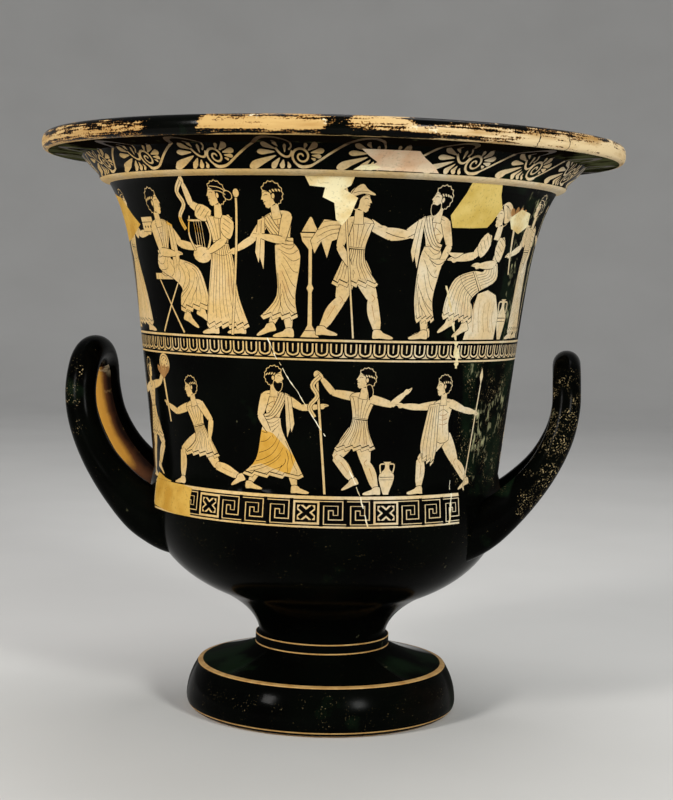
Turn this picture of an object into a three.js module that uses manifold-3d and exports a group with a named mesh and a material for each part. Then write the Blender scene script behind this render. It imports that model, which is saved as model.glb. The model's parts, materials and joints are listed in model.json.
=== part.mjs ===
// Calyx krater: a wide wine-mixing bowl of fired clay, wheel-thrown, on a disc foot with a
// short collared stem, with two upright loop handles rising from the bowl's lower part.
// Millimetres, +Z up. Handles lie along X, the painted front faces -Y, the foot stands on Z = 0.
import * as THREE from 'three';
import { mergeVertices } from 'three/addons/utils/BufferGeometryUtils.js';
import Module from 'manifold-3d';

// Driving dimensions of the turned body
const HEIGHT = 480; // foot to rim
const RIM_RADIUS = 243; // widest point of the lip
const RIM_MID = 472; // height of the widest point
const LIP_TOP_INSET = 7; // from the widest point in to the flat top
const LIP_UNDERSIDE = 465; // height of the lip's lower edge
const MOUTH_INSET = 12; // from the widest point in to the mouth's edge
const WALL_THICKNESS = 8;
const FOOT_RADIUS = 115; // widest point of the foot disc
const FOOT_MID = 9.5; // its height
const FOOT_EDGE_RADIUS = 105.5; // top edge of the foot disc
const FOOT_EDGE_HEIGHT = 39;
const FOOT_REST_RADIUS = 108; // outer edge of the ring that touches the table
const FOOT_REST_INNER = 88; // inner edge of that ring
const FOOT_HOLLOW_RADIUS = 30; // roof of the hollow under the foot
const FOOT_HOLLOW_HEIGHT = 60;
const COLLAR_RADIUS = 57; // raised ring between foot and stem
const COLLAR_BOTTOM = 55.3;
const COLLAR_TOP = 63.6;
const STEM_RADIUS = 53.8;
const STEM_END_RADIUS = 87; // where the stem's hollow curve turns into the bowl's round
const STEM_END_HEIGHT = 100.3;
const BOWL_RADIUS = 149.8; // widest point of the bowl's lower part
const BOWL_MID = 180; // its height
const STEP_DEPTH = 1.6; // small step where the upright wall begins
const STEP_HEIGHT = 199;
const WALL_BASE_RADIUS = 145.9;
const WALL_BASE = 203;
const WALL_SLOPE = 0.1135; // spread of the wall for each mm of height
const FLARE = 14.3; // how far the wall turns out under the moulding
const FLARE_REACH = 29; // height over which that flare fades
const WALL_TOP = 440;
const MOULDING_RADIUS = 196; // raised ring under the neck
const MOULDING_TOP = 447.5;
const NECK_TOP_RADIUS = 210.5; // where the flaring neck meets the lip's underside
const NECK_TOP = 462.3;
const FLOOR_HEIGHT = 98; // inside bottom of the bowl
const ROUND_SEGMENTS = 52;

// Handles: each has its own reach and girth, because they were rolled and set on by hand
const HANDLES = [
  { side: 1, reach: 201, girth: 0.94 },
  { side: -1, reach: 205.5, girth: 1.05 },
];
const HANDLE_TOP = 311; // highest point of a loop
const LIMB_RADIUS = 12.3;
// A limb's way from its root in the bowl up to the crown of the loop
const LIMB_ROUTE = [
  // inside the reach, out from the loop's centre plane, height, half depth and half width
  { inside: 107, across: 46, height: 141, deep: 10, wide: 9 },
  { inside: 88, across: 53, height: 150, deep: 17.5, wide: 14 },
  { inside: 65, across: 57, height: 167, deep: 20, wide: 16 },
  { inside: 41, across: 54, height: 187, deep: 16.5, wide: 16 },
  { inside: 19.5, across: 49, height: 212, deep: 13.5, wide: 14 },
  { inside: 5.5, across: 44, height: 239, deep: 12.5, wide: 13 },
  { inside: 0, across: 40, height: 264, deep: LIMB_RADIUS, wide: LIMB_RADIUS },
  { inside: 0, across: 31, height: 287, deep: LIMB_RADIUS, wide: LIMB_RADIUS },
  { inside: 0.5, across: 13, height: HANDLE_TOP - LIMB_RADIUS - 0.6, deep: LIMB_RADIUS, wide: LIMB_RADIUS },
];
const HANDLE_STEPS = 42;
const HANDLE_SIDES = 12;

const wasm = await Module();
wasm.setup();

const bezier = (points, divisions) =>
  new THREE.CubicBezierCurve(...points.map((p) => new THREE.Vector2(...p))).getPoints(divisions);

const wallRadius = (z) =>
  WALL_BASE_RADIUS + WALL_SLOPE * (z - WALL_BASE) + FLARE * Math.exp((z - WALL_TOP) / FLARE_REACH);

// Heights along the upright wall, closer together toward the flare at its top
function wallHeights(from, to, steps) {
  return Array.from({ length: steps + 1 }, (_, i) => from + (to - from) * (1 - (1 - i / steps) ** 1.7));
}

// Outline of the outside, from the axis under the foot up to the axis over the rim
function outsideProfile() {
  const foot = [
    ...bezier([[FOOT_REST_RADIUS, 0], [FOOT_REST_RADIUS + 4, 1], [FOOT_RADIUS, 4], [FOOT_RADIUS, FOOT_MID]], 3),
    ...bezier([[FOOT_RADIUS, FOOT_MID], [FOOT_RADIUS, 22], [110, 32], [FOOT_EDGE_RADIUS, FOOT_EDGE_HEIGHT]], 4),
    ...bezier([[FOOT_EDGE_RADIUS, FOOT_EDGE_HEIGHT], [88, 42.5], [68, 48], [COLLAR_RADIUS, COLLAR_BOTTOM]], 3),
  ];
  const stemEnd = [STEM_END_RADIUS, STEM_END_HEIGHT];
  const stem = [
    new THREE.Vector2(COLLAR_RADIUS, COLLAR_TOP),
    ...bezier([[STEM_RADIUS, COLLAR_TOP + 0.8], [STEM_RADIUS + 1.4, 76.5], [65.8, 89.3], stemEnd], 5),
  ];
  const bowl = [
    ...bezier([stemEnd, [118.3, 113.1], [BOWL_RADIUS, 138], [BOWL_RADIUS, BOWL_MID]], 7),
    new THREE.Vector2(BOWL_RADIUS - STEP_DEPTH, STEP_HEIGHT - 1),
    new THREE.Vector2(wallRadius(STEP_HEIGHT + 2), STEP_HEIGHT + 2),
  ];
  const wall = wallHeights(STEP_HEIGHT + 2, WALL_TOP, 11).map((z) => new THREE.Vector2(wallRadius(z), z));
  const moulding = bezier([[wallRadius(WALL_TOP) + 0.6, WALL_TOP + 0.4], [193.5, 441],
    [MOULDING_RADIUS + 0.4, 443.5], [MOULDING_RADIUS, MOULDING_TOP]], 3);
  const neck = bezier([[MOULDING_RADIUS + 0.8, MOULDING_TOP + 0.5], [201, 452], [206.5, 457],
    [NECK_TOP_RADIUS, NECK_TOP]], 2);
  const lip = [
    ...bezier([[RIM_RADIUS - 5, LIP_UNDERSIDE], [RIM_RADIUS - 1, LIP_UNDERSIDE + 0.4], [RIM_RADIUS, 468],
      [RIM_RADIUS, RIM_MID]], 3),
    ...bezier([[RIM_RADIUS, RIM_MID], [RIM_RADIUS, 476.5], [RIM_RADIUS - 2, HEIGHT],
      [RIM_RADIUS - LIP_TOP_INSET, HEIGHT]], 3),
  ];
  const onAxis = [new THREE.Vector2(0, 0), new THREE.Vector2(0, HEIGHT)];
  return withoutRepeats([onAxis[0], ...foot, ...stem, ...bowl, ...wall, ...moulding, ...neck, ...lip, onAxis[1]]);
}

// Outline of the inside: bowl floor, wall and the open mouth
function cavityProfile() {
  const mouthRadius = RIM_RADIUS - MOUTH_INSET;
  const floor = bezier([[0, FLOOR_HEIGHT], [86, FLOOR_HEIGHT - 1], [BOWL_RADIUS - 9, 130],
    [BOWL_RADIUS - 9, BOWL_MID + 2]], 6);
  const wall = wallHeights(STEP_HEIGHT + 4, WALL_TOP - 8, 5)
    .map((z) => new THREE.Vector2(wallRadius(z - 2) - WALL_THICKNESS, z));
  const mouth = bezier([[181, 446], [191, 458], [204, 471], [mouthRadius, HEIGHT + 0.6]], 4);
  const above = [new THREE.Vector2(mouthRadius, HEIGHT + 20), new THREE.Vector2(0, HEIGHT + 20)];
  return withoutRepeats([...floor, ...wall, ...mouth, ...above]);
}

// Outline of the hollow under the foot
function footHollowProfile() {
  return [
    new THREE.Vector2(0, -10),
    new THREE.Vector2(FOOT_REST_INNER + 1, -10),
    new THREE.Vector2(FOOT_REST_INNER, 0),
    new THREE.Vector2(FOOT_REST_INNER - 8, 13),
    new THREE.Vector2(FOOT_HOLLOW_RADIUS + 12, 42),
    new THREE.Vector2(FOOT_HOLLOW_RADIUS, FOOT_HOLLOW_HEIGHT - 3),
    new THREE.Vector2(0, FOOT_HOLLOW_HEIGHT),
  ];
}

function withoutRepeats(points) {
  return points.filter((p, i) => i === 0 || p.distanceTo(points[i - 1]) > 0.01);
}

// A turned solid: LatheGeometry spins about Y, so it is stood up along Z
function turned(profile) {
  const geometry = new THREE.LatheGeometry(profile, ROUND_SEGMENTS);
  geometry.rotateX(Math.PI / 2);
  return geometry;
}

// One loop handle: a cylinder whose length is bent along the limb, over the crown and down the
// other limb, and whose section swells toward both roots
function handle({ side, reach, girth }) {
  const stops = [...LIMB_ROUTE, ...LIMB_ROUTE.map((stop) => ({ ...stop, across: -stop.across })).reverse()];
  const places = stops.map(({ inside, across, height }) => new THREE.Vector3(side * (reach - inside), across, height));
  const path = new THREE.CatmullRomCurve3(places);
  const section = new THREE.CatmullRomCurve3(stops.map(({ deep, wide }) => new THREE.Vector3(deep, wide, 0)));
  const tube = new THREE.CylinderGeometry(1, 1, 1, HANDLE_SIDES, HANDLE_STEPS);
  const position = tube.attributes.position;
  for (let i = 0; i < position.count; i++) {
    const along = THREE.MathUtils.clamp(position.getY(i) + 0.5, 0, 1);
    const centre = path.getPoint(along);
    const tangent = path.getTangent(along);
    const size = section.getPoint(along).multiplyScalar(girth);
    const out = new THREE.Vector3(side, 0, 0).addScaledVector(tangent, -side * tangent.x).normalize();
    const across = new THREE.Vector3().crossVectors(tangent, out);
    centre.addScaledVector(out, size.x * position.getX(i)).addScaledVector(across, size.y * position.getZ(i));
    position.setXYZ(i, centre.x, centre.y, centre.z);
  }
  return tube;
}

// A closed solid from a closed mesh, turned right side out if its faces point inwards
function toManifold(geometry) {
  geometry.deleteAttribute('normal');
  geometry.deleteAttribute('uv');
  const welded = mergeVertices(geometry, 1e-3);
  const vertProperties = new Float32Array(welded.attributes.position.array);
  const triVerts = new Uint32Array(welded.index.array);
  const solid = new wasm.Manifold(new wasm.Mesh({ numProp: 3, vertProperties, triVerts }));
  if (solid.volume() > 0) return solid;
  for (let i = 0; i < triVerts.length; i += 3) {
    [triVerts[i], triVerts[i + 1]] = [triVerts[i + 1], triVerts[i]];
  }
  return new wasm.Manifold(new wasm.Mesh({ numProp: 3, vertProperties, triVerts }));
}

function toGeometry(solid) {
  const mesh = solid.getMesh();
  const geometry = new THREE.BufferGeometry();
  geometry.setAttribute('position', new THREE.BufferAttribute(new Float32Array(mesh.vertProperties), 3));
  geometry.setIndex(new THREE.BufferAttribute(new Uint32Array(mesh.triVerts), 1));
  geometry.computeVertexNormals();
  return geometry;
}

let solid = toManifold(turned(outsideProfile()));
for (const spec of HANDLES) {
  solid = solid.add(toManifold(handle(spec)));
}
solid = solid.subtract(toManifold(turned(cavityProfile())));
solid = solid.subtract(toManifold(turned(footHollowProfile())));

const glazedClay = new THREE.MeshStandardMaterial({ color: 0x15130f, roughness: 0.32, metalness: 0 });
const krater = new THREE.Mesh(toGeometry(solid), glazedClay);
krater.name = 'krater';

const group = new THREE.Group();
group.add(krater);
export default group;
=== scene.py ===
import cmath
import json
import math
import random

import bmesh
import bpy
import numpy as np
from mathutils import Matrix, Vector
from mathutils.geometry import delaunay_2d_cdt

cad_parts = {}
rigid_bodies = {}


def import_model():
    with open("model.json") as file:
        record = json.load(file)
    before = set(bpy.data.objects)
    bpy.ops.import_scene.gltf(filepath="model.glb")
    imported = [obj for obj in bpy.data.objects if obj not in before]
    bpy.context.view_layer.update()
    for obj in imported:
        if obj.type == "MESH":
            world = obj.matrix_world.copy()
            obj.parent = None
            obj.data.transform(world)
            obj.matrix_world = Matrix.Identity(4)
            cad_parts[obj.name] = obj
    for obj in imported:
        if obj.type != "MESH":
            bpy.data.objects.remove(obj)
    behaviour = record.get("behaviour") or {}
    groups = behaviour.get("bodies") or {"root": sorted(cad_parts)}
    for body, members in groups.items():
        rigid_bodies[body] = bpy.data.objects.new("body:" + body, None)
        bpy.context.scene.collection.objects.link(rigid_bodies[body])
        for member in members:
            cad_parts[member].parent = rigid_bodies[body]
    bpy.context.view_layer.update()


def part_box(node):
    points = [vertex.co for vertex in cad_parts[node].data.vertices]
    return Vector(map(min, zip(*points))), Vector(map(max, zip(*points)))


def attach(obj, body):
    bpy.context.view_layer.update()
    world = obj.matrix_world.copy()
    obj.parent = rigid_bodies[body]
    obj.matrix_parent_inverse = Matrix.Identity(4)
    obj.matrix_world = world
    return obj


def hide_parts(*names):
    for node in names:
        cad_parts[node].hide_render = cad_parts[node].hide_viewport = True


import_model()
potLow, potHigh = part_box("krater")
drawnHeight = 480  # the measured drawing of the pot is in millimetres
metre = (potHigh.z - potLow.z) / drawnHeight


def addObject(name, data):
    item = bpy.data.objects.new(name, data)
    bpy.context.scene.collection.objects.link(item)
    return item


def spinLine(shape, spots, steps):
    corners = [shape.verts.new(spot) for spot in spots]
    lines = [shape.edges.new(pair) for pair in zip(corners, corners[1:])]
    bmesh.ops.spin(shape, geom=corners + lines, cent=(0, 0, 0), axis=(0, 0, 1), dvec=(0, 0, 0),
                   angle=math.tau, steps=steps, use_merge=True, use_duplicate=False)


# camera, light and floor

view = {
    "turn": 7.75,       # degrees round the pot, towards its right handle
    "away": 1432,
    "aside": 7.3,
    "height": 357.4,
    "tipDown": 3.77,
    "roll": 1.45,
    "lens": 75.78,
}


def placeCamera():
    turn, tip, roll = (math.radians(view[key]) for key in ("turn", "tipDown", "roll"))
    right = Vector((math.cos(turn), math.sin(turn), 0))
    ahead = Vector((-math.sin(turn) * math.cos(tip), math.cos(turn) * math.cos(tip), -math.sin(tip)))
    up = right.cross(ahead)
    tiltedRight = right * math.cos(roll) + up * math.sin(roll)
    tiltedUp = up * math.cos(roll) - right * math.sin(roll)
    place = Matrix((tiltedRight, tiltedUp, -ahead)).transposed().to_4x4()
    level = Vector((-math.sin(turn), math.cos(turn), 0))
    spot = right * view["aside"] - level * view["away"] + Vector((0, 0, view["height"]))
    place.translation = spot * metre
    lensData = bpy.data.cameras.new("camera")
    lensData.lens = view["lens"]
    camera = addObject("camera", lensData)
    camera.matrix_world = place
    bpy.context.scene.camera = camera


studio = {
    "floorFlat": 3.4,       # metres of level floor round the pot
    "wallRadius": 6.5,
    "wallHeight": 5.0,
    "coveSteps": 12, "steps": 64,
    "floorDim": (0.62, 0.61, 0.59, 1), "floorPale": (0.66, 0.65, 0.63, 1),
    "skyColour": (0.80, 0.82, 0.86, 1),
    "skyStrength": 0.36,
    "aim": (0, 0, 0.25),
    "lamps": (              # name, place, width, height, watts, colour
        ("keyLamp", (-1.6, -2.0, 1.3), 0.46, 0.58, 47, (1.0, 0.98, 0.95)),
        ("fillLamp", (1.7, -1.9, 1.2), 0.42, 0.5, 44, (0.98, 1.0, 0.97)),
        ("topLamp", (0.1, 0.6, 2.4), 1.6, 1.2, 24, (1.0, 1.0, 1.0)),
    ),
}


def makeFloor():
    # a level floor that curves up into a wall all round
    shape = bmesh.new()
    flat, reach, tall = studio["floorFlat"], studio["wallRadius"] - studio["floorFlat"], studio["wallHeight"]
    path = [(0, 0, 0), (flat, 0, 0)]
    for step in range(1, studio["coveSteps"] + 1):
        angle = math.radians(90 * step / studio["coveSteps"])
        path.append((flat + reach * math.sin(angle), 0, tall * (1 - math.cos(angle))))
    spinLine(shape, path, studio["steps"])
    bmesh.ops.remove_doubles(shape, verts=shape.verts, dist=1e-5)
    for face in shape.faces:
        face.smooth = True
        face.normal_update()
        if face.normal.z < 0:
            face.normal_flip()
    mesh = bpy.data.meshes.new("floor")
    shape.to_mesh(mesh)
    shape.free()
    paper = Recipe("paleFloor", 0.85)
    paper.colour(paper.ramp(paper.noise(3, 3), (0.3, studio["floorDim"]), (0.7, studio["floorPale"])))
    mesh.materials.append(paper.material)
    floor = addObject("floor", mesh)


def lightStudio():
    for name, place, width, tall, watts, colour in studio["lamps"]:
        data = bpy.data.lights.new(name, "AREA")
        data.shape = "RECTANGLE"
        data.size, data.size_y = width, tall
        data.energy = watts
        data.color = colour
        lamp = addObject(name, data)
        lamp.location = place
        lamp.rotation_euler = (Vector(studio["aim"]) - lamp.location).to_track_quat("-Z", "Y").to_euler()
    world = bpy.data.worlds.new("softLight")
    world.use_nodes = True
    sky = world.node_tree.nodes["Background"]
    sky.inputs["Color"].default_value = studio["skyColour"]
    sky.inputs["Strength"].default_value = studio["skyStrength"]
    bpy.context.scene.world = world
    bpy.context.scene.view_settings.view_transform = "Standard"


# one material and the steps that mix it

class Recipe:
    def __init__(self, name, roughness, gloss=0.5):
        self.material = bpy.data.materials.new(name)
        self.material.use_nodes = True
        self.tree = self.material.node_tree
        self.tree.nodes.clear()
        self.skin = self.node("BsdfPrincipled", {"Roughness": roughness, "Specular IOR Level": gloss})
        self.node("OutputMaterial", {"Surface": self.skin.outputs["BSDF"]})
        self.where = self.node("TexCoord", {}).outputs["Object"]

    def put(self, node, inputs):
        sockets = {socket.identifier: socket for socket in node.inputs}
        for key, value in inputs.items():
            if isinstance(value, bpy.types.NodeSocket):
                self.tree.links.new(value, sockets[key])
            else:
                sockets[key].default_value = value

    def node(self, kind, inputs, **settings):
        made = self.tree.nodes.new("ShaderNode" + kind)
        for name, value in settings.items():
            setattr(made, name, value)
        self.put(made, inputs)
        return made

    def colour(self, value):
        self.put(self.skin, {"Base Color": value})

    def noise(self, scale, detail, where=None):
        where = self.where if where is None else where
        return self.node("TexNoise", {"Vector": where, "Scale": scale, "Detail": detail}).outputs["Fac"]

    def stretched(self, scale, lean):
        turn = (math.radians(lean), 0, 0)
        return self.node("Mapping", {"Vector": self.where, "Scale": scale,
                                     "Rotation": turn}).outputs["Vector"]

    def ramp(self, level, *stops):
        node = self.node("ValToRGB", {"Fac": level})
        elements = node.color_ramp.elements
        while len(elements) < len(stops):
            elements.new(0.5)
        for element, (place, colour) in zip(elements, stops):
            element.position = place
            element.color = colour if isinstance(colour, tuple) else (colour, colour, colour, 1)
        return node.outputs["Color"]

    def rise(self, level, start, full):
        return self.ramp(level, (start, 0.0), (full, 1.0))

    def blend(self, share, first, second, mode="MIX"):
        node = self.node("Mix", {}, data_type="RGBA", blend_type=mode)
        self.put(node, {"Factor_Float": share, "A_Color": first, "B_Color": second})
        return next(socket for socket in node.outputs if socket.identifier == "Result_Color")

    def sum(self, kind, first, second=0.0):
        return self.node("Math", {"Value": first, "Value_001": second}, operation=kind).outputs["Value"]

    def add(self, total, *parts):
        for part in parts:
            total = self.sum("ADD", total, part)
        return total

    def minus(self, first, second):
        return self.sum("SUBTRACT", first, second)

    def times(self, first, *others):
        for other in others:
            first = self.sum("MULTIPLY", first, other)
        return first

    def window(self, value, low, high, soft):
        # 1 between the two limits, fading to 0 over the soft width outside them
        return self.times(*(
            self.node("MapRange", {"Value": value, "From Min": start, "From Max": end},
                      interpolation_type="SMOOTHSTEP").outputs["Result"]
            for start, end in ((low - soft, low), (high + soft, high))))

    def measureRound(self):
        # the angle round the pot from the front, the height and the distance from the axis
        across, deep, self.height = self.node("SeparateXYZ", {"Vector": self.where}).outputs
        self.angle = self.sum("ARCTAN2", across, self.times(deep, -1.0))
        self.far = self.sum("SQRT", self.add(self.times(across, across), self.times(deep, deep)))
        self.turn = self.add(self.sum("DIVIDE", self.angle, math.tau), 0.5)

    def byAzimuth(self, *stops):
        return self.ramp(self.turn, *(((azimuth + 180) / 360, level) for azimuth, level in stops))

    def bump(self, grain, detail, strength, depth):
        height = self.noise(grain, detail)
        node = self.node("Bump", {"Strength": strength, "Distance": depth, "Height": height})
        self.put(self.skin, {"Normal": node.outputs["Normal"]})


# the pot's finishes

finish = {
    "blackDeep": (0.0007, 0.0007, 0.0006, 1),
    "blackGreen": (0.0014, 0.0018, 0.0012, 1),
    "blackBrown": (0.0045, 0.0028, 0.0018, 1),
    "greenSheen": (0.0045, 0.0100, 0.0045, 1),
    "scuff": (0.32, 0.31, 0.17, 1),
    "speck": (0.38, 0.29, 0.15, 1),
    "speckDim": (0.10, 0.075, 0.035, 1),
    "clayPale": (0.71, 0.560, 0.335, 1),
    "clayBloom": (0.74, 0.65, 0.48, 1),
    "clayWarm": (0.66, 0.44, 0.165, 1),
    "clayMid": (0.62, 0.39, 0.150, 1),
    "clayDeep": (0.40, 0.20, 0.060, 1),
    "lineDeep": (0.40, 0.21, 0.060, 1),
    "linePale": (0.56, 0.35, 0.13, 1),
    "lipDeep": (0.44, 0.25, 0.080, 1),
    "lipWarm": (0.58, 0.37, 0.135, 1),
    "lipPale": (0.74, 0.57, 0.33, 1),
    "lipNick": (0.76, 0.66, 0.44, 1),
    "dullBlack": (0.004, 0.0028, 0.0016, 1),
    "dullOlive": (0.075, 0.080, 0.036, 1),
    "goldTint": (0.60, 0.335, 0.055, 1),
    "washBrown": (0.26, 0.12, 0.032, 1),
    # painted shade under the lip; the darker one also fills the lip's cracks
    "fadedDeep": (0.013, 0.006, 0.003, 1),
    "fadedPale": (0.058, 0.028, 0.010, 1),
    "goldPlaster": (0.62, 0.37, 0.065, 1),
    "goldDeep": (0.50, 0.26, 0.028, 1),
    "sandPlaster": (0.66, 0.49, 0.145, 1),
    "sandDeep": (0.55, 0.38, 0.080, 1),
    "pinkPlaster": (0.66, 0.42, 0.25, 1),
    "pinkPale": (0.72, 0.56, 0.38, 1),
    "creamFill": (0.78, 0.69, 0.42, 1),
    "creamDeep": (0.62, 0.44, 0.17, 1),
    "chalk": (0.82, 0.78, 0.62, 1),
    "handleBright": (0.52, 0.245, 0.028, 1),
    "handleDark": (0.105, 0.034, 0.008, 1),
    "handleShade": (0.012, 0.004, 0.002, 1),
    "glossShine": 0.013,
    "lineShine": 0.02,
}
wornAndSheenPlaces = {  # degrees round the pot, height and distance from the axis in metres, strength
    "wallScuffs": ((60, 76), (0.226, 0.268), (0.10, 0.170), 1.0),
    "wallSmears": ((56, 84), (0.205, 0.300), (0.10, 0.170), 0.50),
    "wallSpecks": ((53, 80), (0.205, 0.300), (0.10, 0.170), 0.75),
    "wallGreen": ((54, 84), (0.200, 0.302), (0.10, 0.170), 1.0),
    "wallAbove": ((68, 90), (0.325, 0.430), (0.10, 0.190), 0.8),
    "rightHandle": ((68, 116), (0.178, 0.286), (0.180, 0.260), 1.0),
    "leftHandle": ((-125, -62), (0.236, 0.282), (0.208, 0.260), 0.72),
    "footSkirt": ((-60, 75), (0.002, 0.026), (0.10, 0.120), 0.40),
    "footTop": ((56, 110), (0.040, 0.056), (0.05, 0.104), 1.0),
    "footTopLeft": ((-110, -46), (0.040, 0.056), (0.05, 0.104), 1.0),
    "footSideRight": ((84, 110), (0.004, 0.034), (0.09, 0.120), 0.9),
    "footSideLeft": ((-110, -78), (0.004, 0.034), (0.09, 0.120), 0.8),
    "stemRight": ((80, 112), (0.088, 0.108), (0.05, 0.105), 0.9),
    "stemLeft": ((-112, -74), (0.088, 0.108), (0.05, 0.105), 0.9),
    "neckRight": ((52, 78), (0.446, 0.462), (0.15, 0.240), 0.9),
    "bowlUnder": ((-60, 70), (0.135, 0.172), (0.10, 0.160), 0.22),
    "bowlChip": ((94, 95.5), (0.115, 0.119), (0.10, 0.135), 1.0),
}
tones = {  # grain and detail of the noise, then the colour or level that stands at each of its shares
    "black": (14, 4, (0.35, "blackDeep"), (0.62, "blackGreen"), (0.80, "blackBrown")),
    "speck": (300, 2, (0.42, "speckDim"), (0.58, "speck")),
    "sheen": (9, 5, (0.3, 0.10), (0.7, 0.22)),
    "line": (90, 3, (0.45, "blackDeep"), (0.75, "blackBrown")),
    "clayFine": (60, 6, (0.34, 0.0), (0.58, 1.0)),
    "clayBloom": (38, 6, (0.48, 0.0), (0.66, 0.75)),
    "clayGrain": (420, 3, (0.30, 0.78), (0.52, 1.0)),
    "clayStain": (48, 6, (0.62, 0.0), (0.76, 0.5)),
    "plasterPits": (500, 2, (0.30, 0.75), (0.42, 1.0)),
    "handleRub": (90, 4, (0.62, 0.0), (0.76, 0.6)),
    "handleTip": (130, 4, (0.42, 0.0), (0.56, 0.9)),
}
wornAndSheenKinds = {
    "green": ("wallGreen", "wallAbove", "footTop", "footTopLeft", "footSideRight", "footSideLeft",
              "stemRight", "stemLeft", "neckRight"),
    "scuffed": ("wallScuffs", "wallSmears", "wallAbove"),
    "flecked": ("rightHandle", "leftHandle", "footSkirt", "bowlUnder", "wallSpecks"),
    "chipped": ("bowlChip",),
}
wornAndSheenEdge = {"round": 0.14, "up": 0.018, "out": 0.004}  # how softly the worn places and the places of painted sheen end
marks = {  # grain and detail of the noise, how far its place raises it, where a mark starts and where it is full
    "greenCast": (24, 6, 0.21, 0.66, 0.80),
    "scuffs": (60, 6, 0.27, 0.71, 0.83),
    "pits": (760, 3, 0.145, 0.72, 0.77),
    "patches": (70, 5, 0.06, 0.52, 0.64),
    "chip": (90, 5, 0.34, 0.80, 0.82),
}


def toned(mix, name):
    grain, detail, *stops = tones[name]
    stops = [(share, finish.get(level, level)) for share, level in stops]
    return mix.ramp(mix.noise(grain, detail), *stops)


def wornAndSheenBy(mix, how):
    # how far inside the places of one kind a spot lies: worn places, and places of painted sheen
    level = None
    for name in wornAndSheenKinds[how]:
        (left, right), (low, high), (near, away), strength = wornAndSheenPlaces[name]
        sides = mix.window(mix.angle, math.radians(left), math.radians(right), wornAndSheenEdge["round"])
        mask = mix.times(sides, mix.window(mix.height, low, high, wornAndSheenEdge["up"]),
                         mix.window(mix.far, near, away, wornAndSheenEdge["out"]), strength)
        level = mask if level is None else mix.sum("MAXIMUM", level, mask)
    return level


def mark(mix, kind, level, *extra):
    # spots that come out of the noise in the worn places and in the places of painted sheen
    grain, detail, lift, start, full = marks[kind]
    return mix.rise(mix.add(mix.noise(grain, detail), *extra, mix.times(level, lift)), start, full)


def addGloss(mix):
    # black with a painted green sheen at the sides and edges, pin holes and dull scuffs
    base = toned(mix, "black")
    green = wornAndSheenBy(mix, "green")
    # more painted sheen along the edge of the left side
    edge = mix.byAzimuth((-180, 0.0), (-90, 0.03), (-74, 0.07), (-64, 0.0), (130, 0.0))
    base = mix.blend(mark(mix, "greenCast", green, edge), base, finish["greenSheen"])
    smear = mix.rise(mix.noise(260, 7, mix.stretched((1.0, 1.0, 0.45), 28)), 0.51, 0.60)
    base = mix.blend(mix.times(smear, mark(mix, "scuffs", wornAndSheenBy(mix, "scuffed"))), base, finish["scuff"])
    flecked = wornAndSheenBy(mix, "flecked")
    speck = mix.times(mark(mix, "pits", flecked), mark(mix, "patches", flecked))
    chip = mark(mix, "chip", wornAndSheenBy(mix, "chipped"))
    return mix.blend(mix.sum("MAXIMUM", speck, chip), base, toned(mix, "speck")), green


def makeGloss():
    # matt where the green sheen is painted
    mix = Recipe("blackGloss", 0.15, finish["glossShine"])
    mix.measureRound()
    colour, matt = addGloss(mix)
    mix.colour(colour)
    mix.put(mix.skin, {"Roughness": mix.add(toned(mix, "sheen"), mix.times(matt, 0.5))})
    mix.bump(180, 3, 0.10, 0.0004)
    return mix.material


clayTone = {  # degrees round the pot and share; the painted shadow's heights and soft edge
    "warmth": ((-180, 0.5), (-75, 1.0), (-6, 1.0), (10, 0.75), (32, 0.25), (60, 0.0), (110, 0.2)),
    "darker": ((-180, 0.0), (-20, 0.0), (-5, 0.13), (14, 0.20), (30, 0.10), (48, 0.0)),
    "soot": ((-180, 0.5), (-60, 0.35), (-30, 0.7), (5, 0.9), (45, 0.8), (75, 0.35), (120, 0.5)),
    "sootHeight": (0.4590, 0.470, 0.0045),
    "olive": ((-120, 0.0), (-85, 0.32), (-58, 0.24), (-48, 0.0), (52, 0.0), (66, 0.24), (85, 0.30),
              (120, 0.0)),
}


def makeClay():
    # fired warmer on the pot's left, with painted shade on the middle of the front and a painted shadow just
    # under the lip
    mix = Recipe("figureClay", 0.55, 0.2)
    mix.measureRound()
    warmth = mix.byAzimuth(*clayTone["warmth"])
    base = mix.blend(warmth, finish["clayPale"], finish["clayWarm"])
    base = mix.blend(toned(mix, "clayFine"), mix.blend(0.35, base, finish["clayMid"]), base)
    bloom = mix.times(toned(mix, "clayBloom"), mix.minus(1.0, mix.times(warmth, 0.7)))
    base = mix.blend(bloom, base, finish["clayBloom"])
    base = mix.blend(1.0, base, toned(mix, "clayGrain"), "MULTIPLY")
    # painted shade darkening the middle of the front
    base = mix.blend(mix.byAzimuth(*clayTone["darker"]), base, (0, 0, 0, 1))
    base = mix.blend(toned(mix, "clayStain"), base, finish["clayDeep"])
    # painted shadow of the lip on the top of the neck's clay
    soot = mix.times(mix.window(mix.height, *clayTone["sootHeight"]), mix.byAzimuth(*clayTone["soot"]))
    mix.colour(mix.blend(soot, base, finish["fadedPale"]))
    mix.bump(300, 4, 0.18, 0.0005)
    return mix.material


def makeDull():
    # the underside of the rim, kept matt and brown-black as painted shade, with olive painted sheen towards
    # the sides
    mix = Recipe("dullUnderside", 0.9, 0.0)
    mix.measureRound()
    olive = mix.rise(mix.add(mix.noise(60, 5), mix.byAzimuth(*clayTone["olive"])), 0.62, 0.86)
    mix.colour(mix.blend(olive, finish["dullBlack"], finish["dullOlive"]))
    return mix.material


def makeLine():
    mix = Recipe("reliefLine", 0.3, finish["lineShine"])
    mix.colour(toned(mix, "line"))
    return mix.material


def makeWash(name, deep, pale):
    mix = Recipe(name, 0.5, 0.2)
    mix.colour(mix.ramp(mix.noise(120, 3), (0.35, finish[deep]), (0.7, finish[pale])))
    return mix.material


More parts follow.
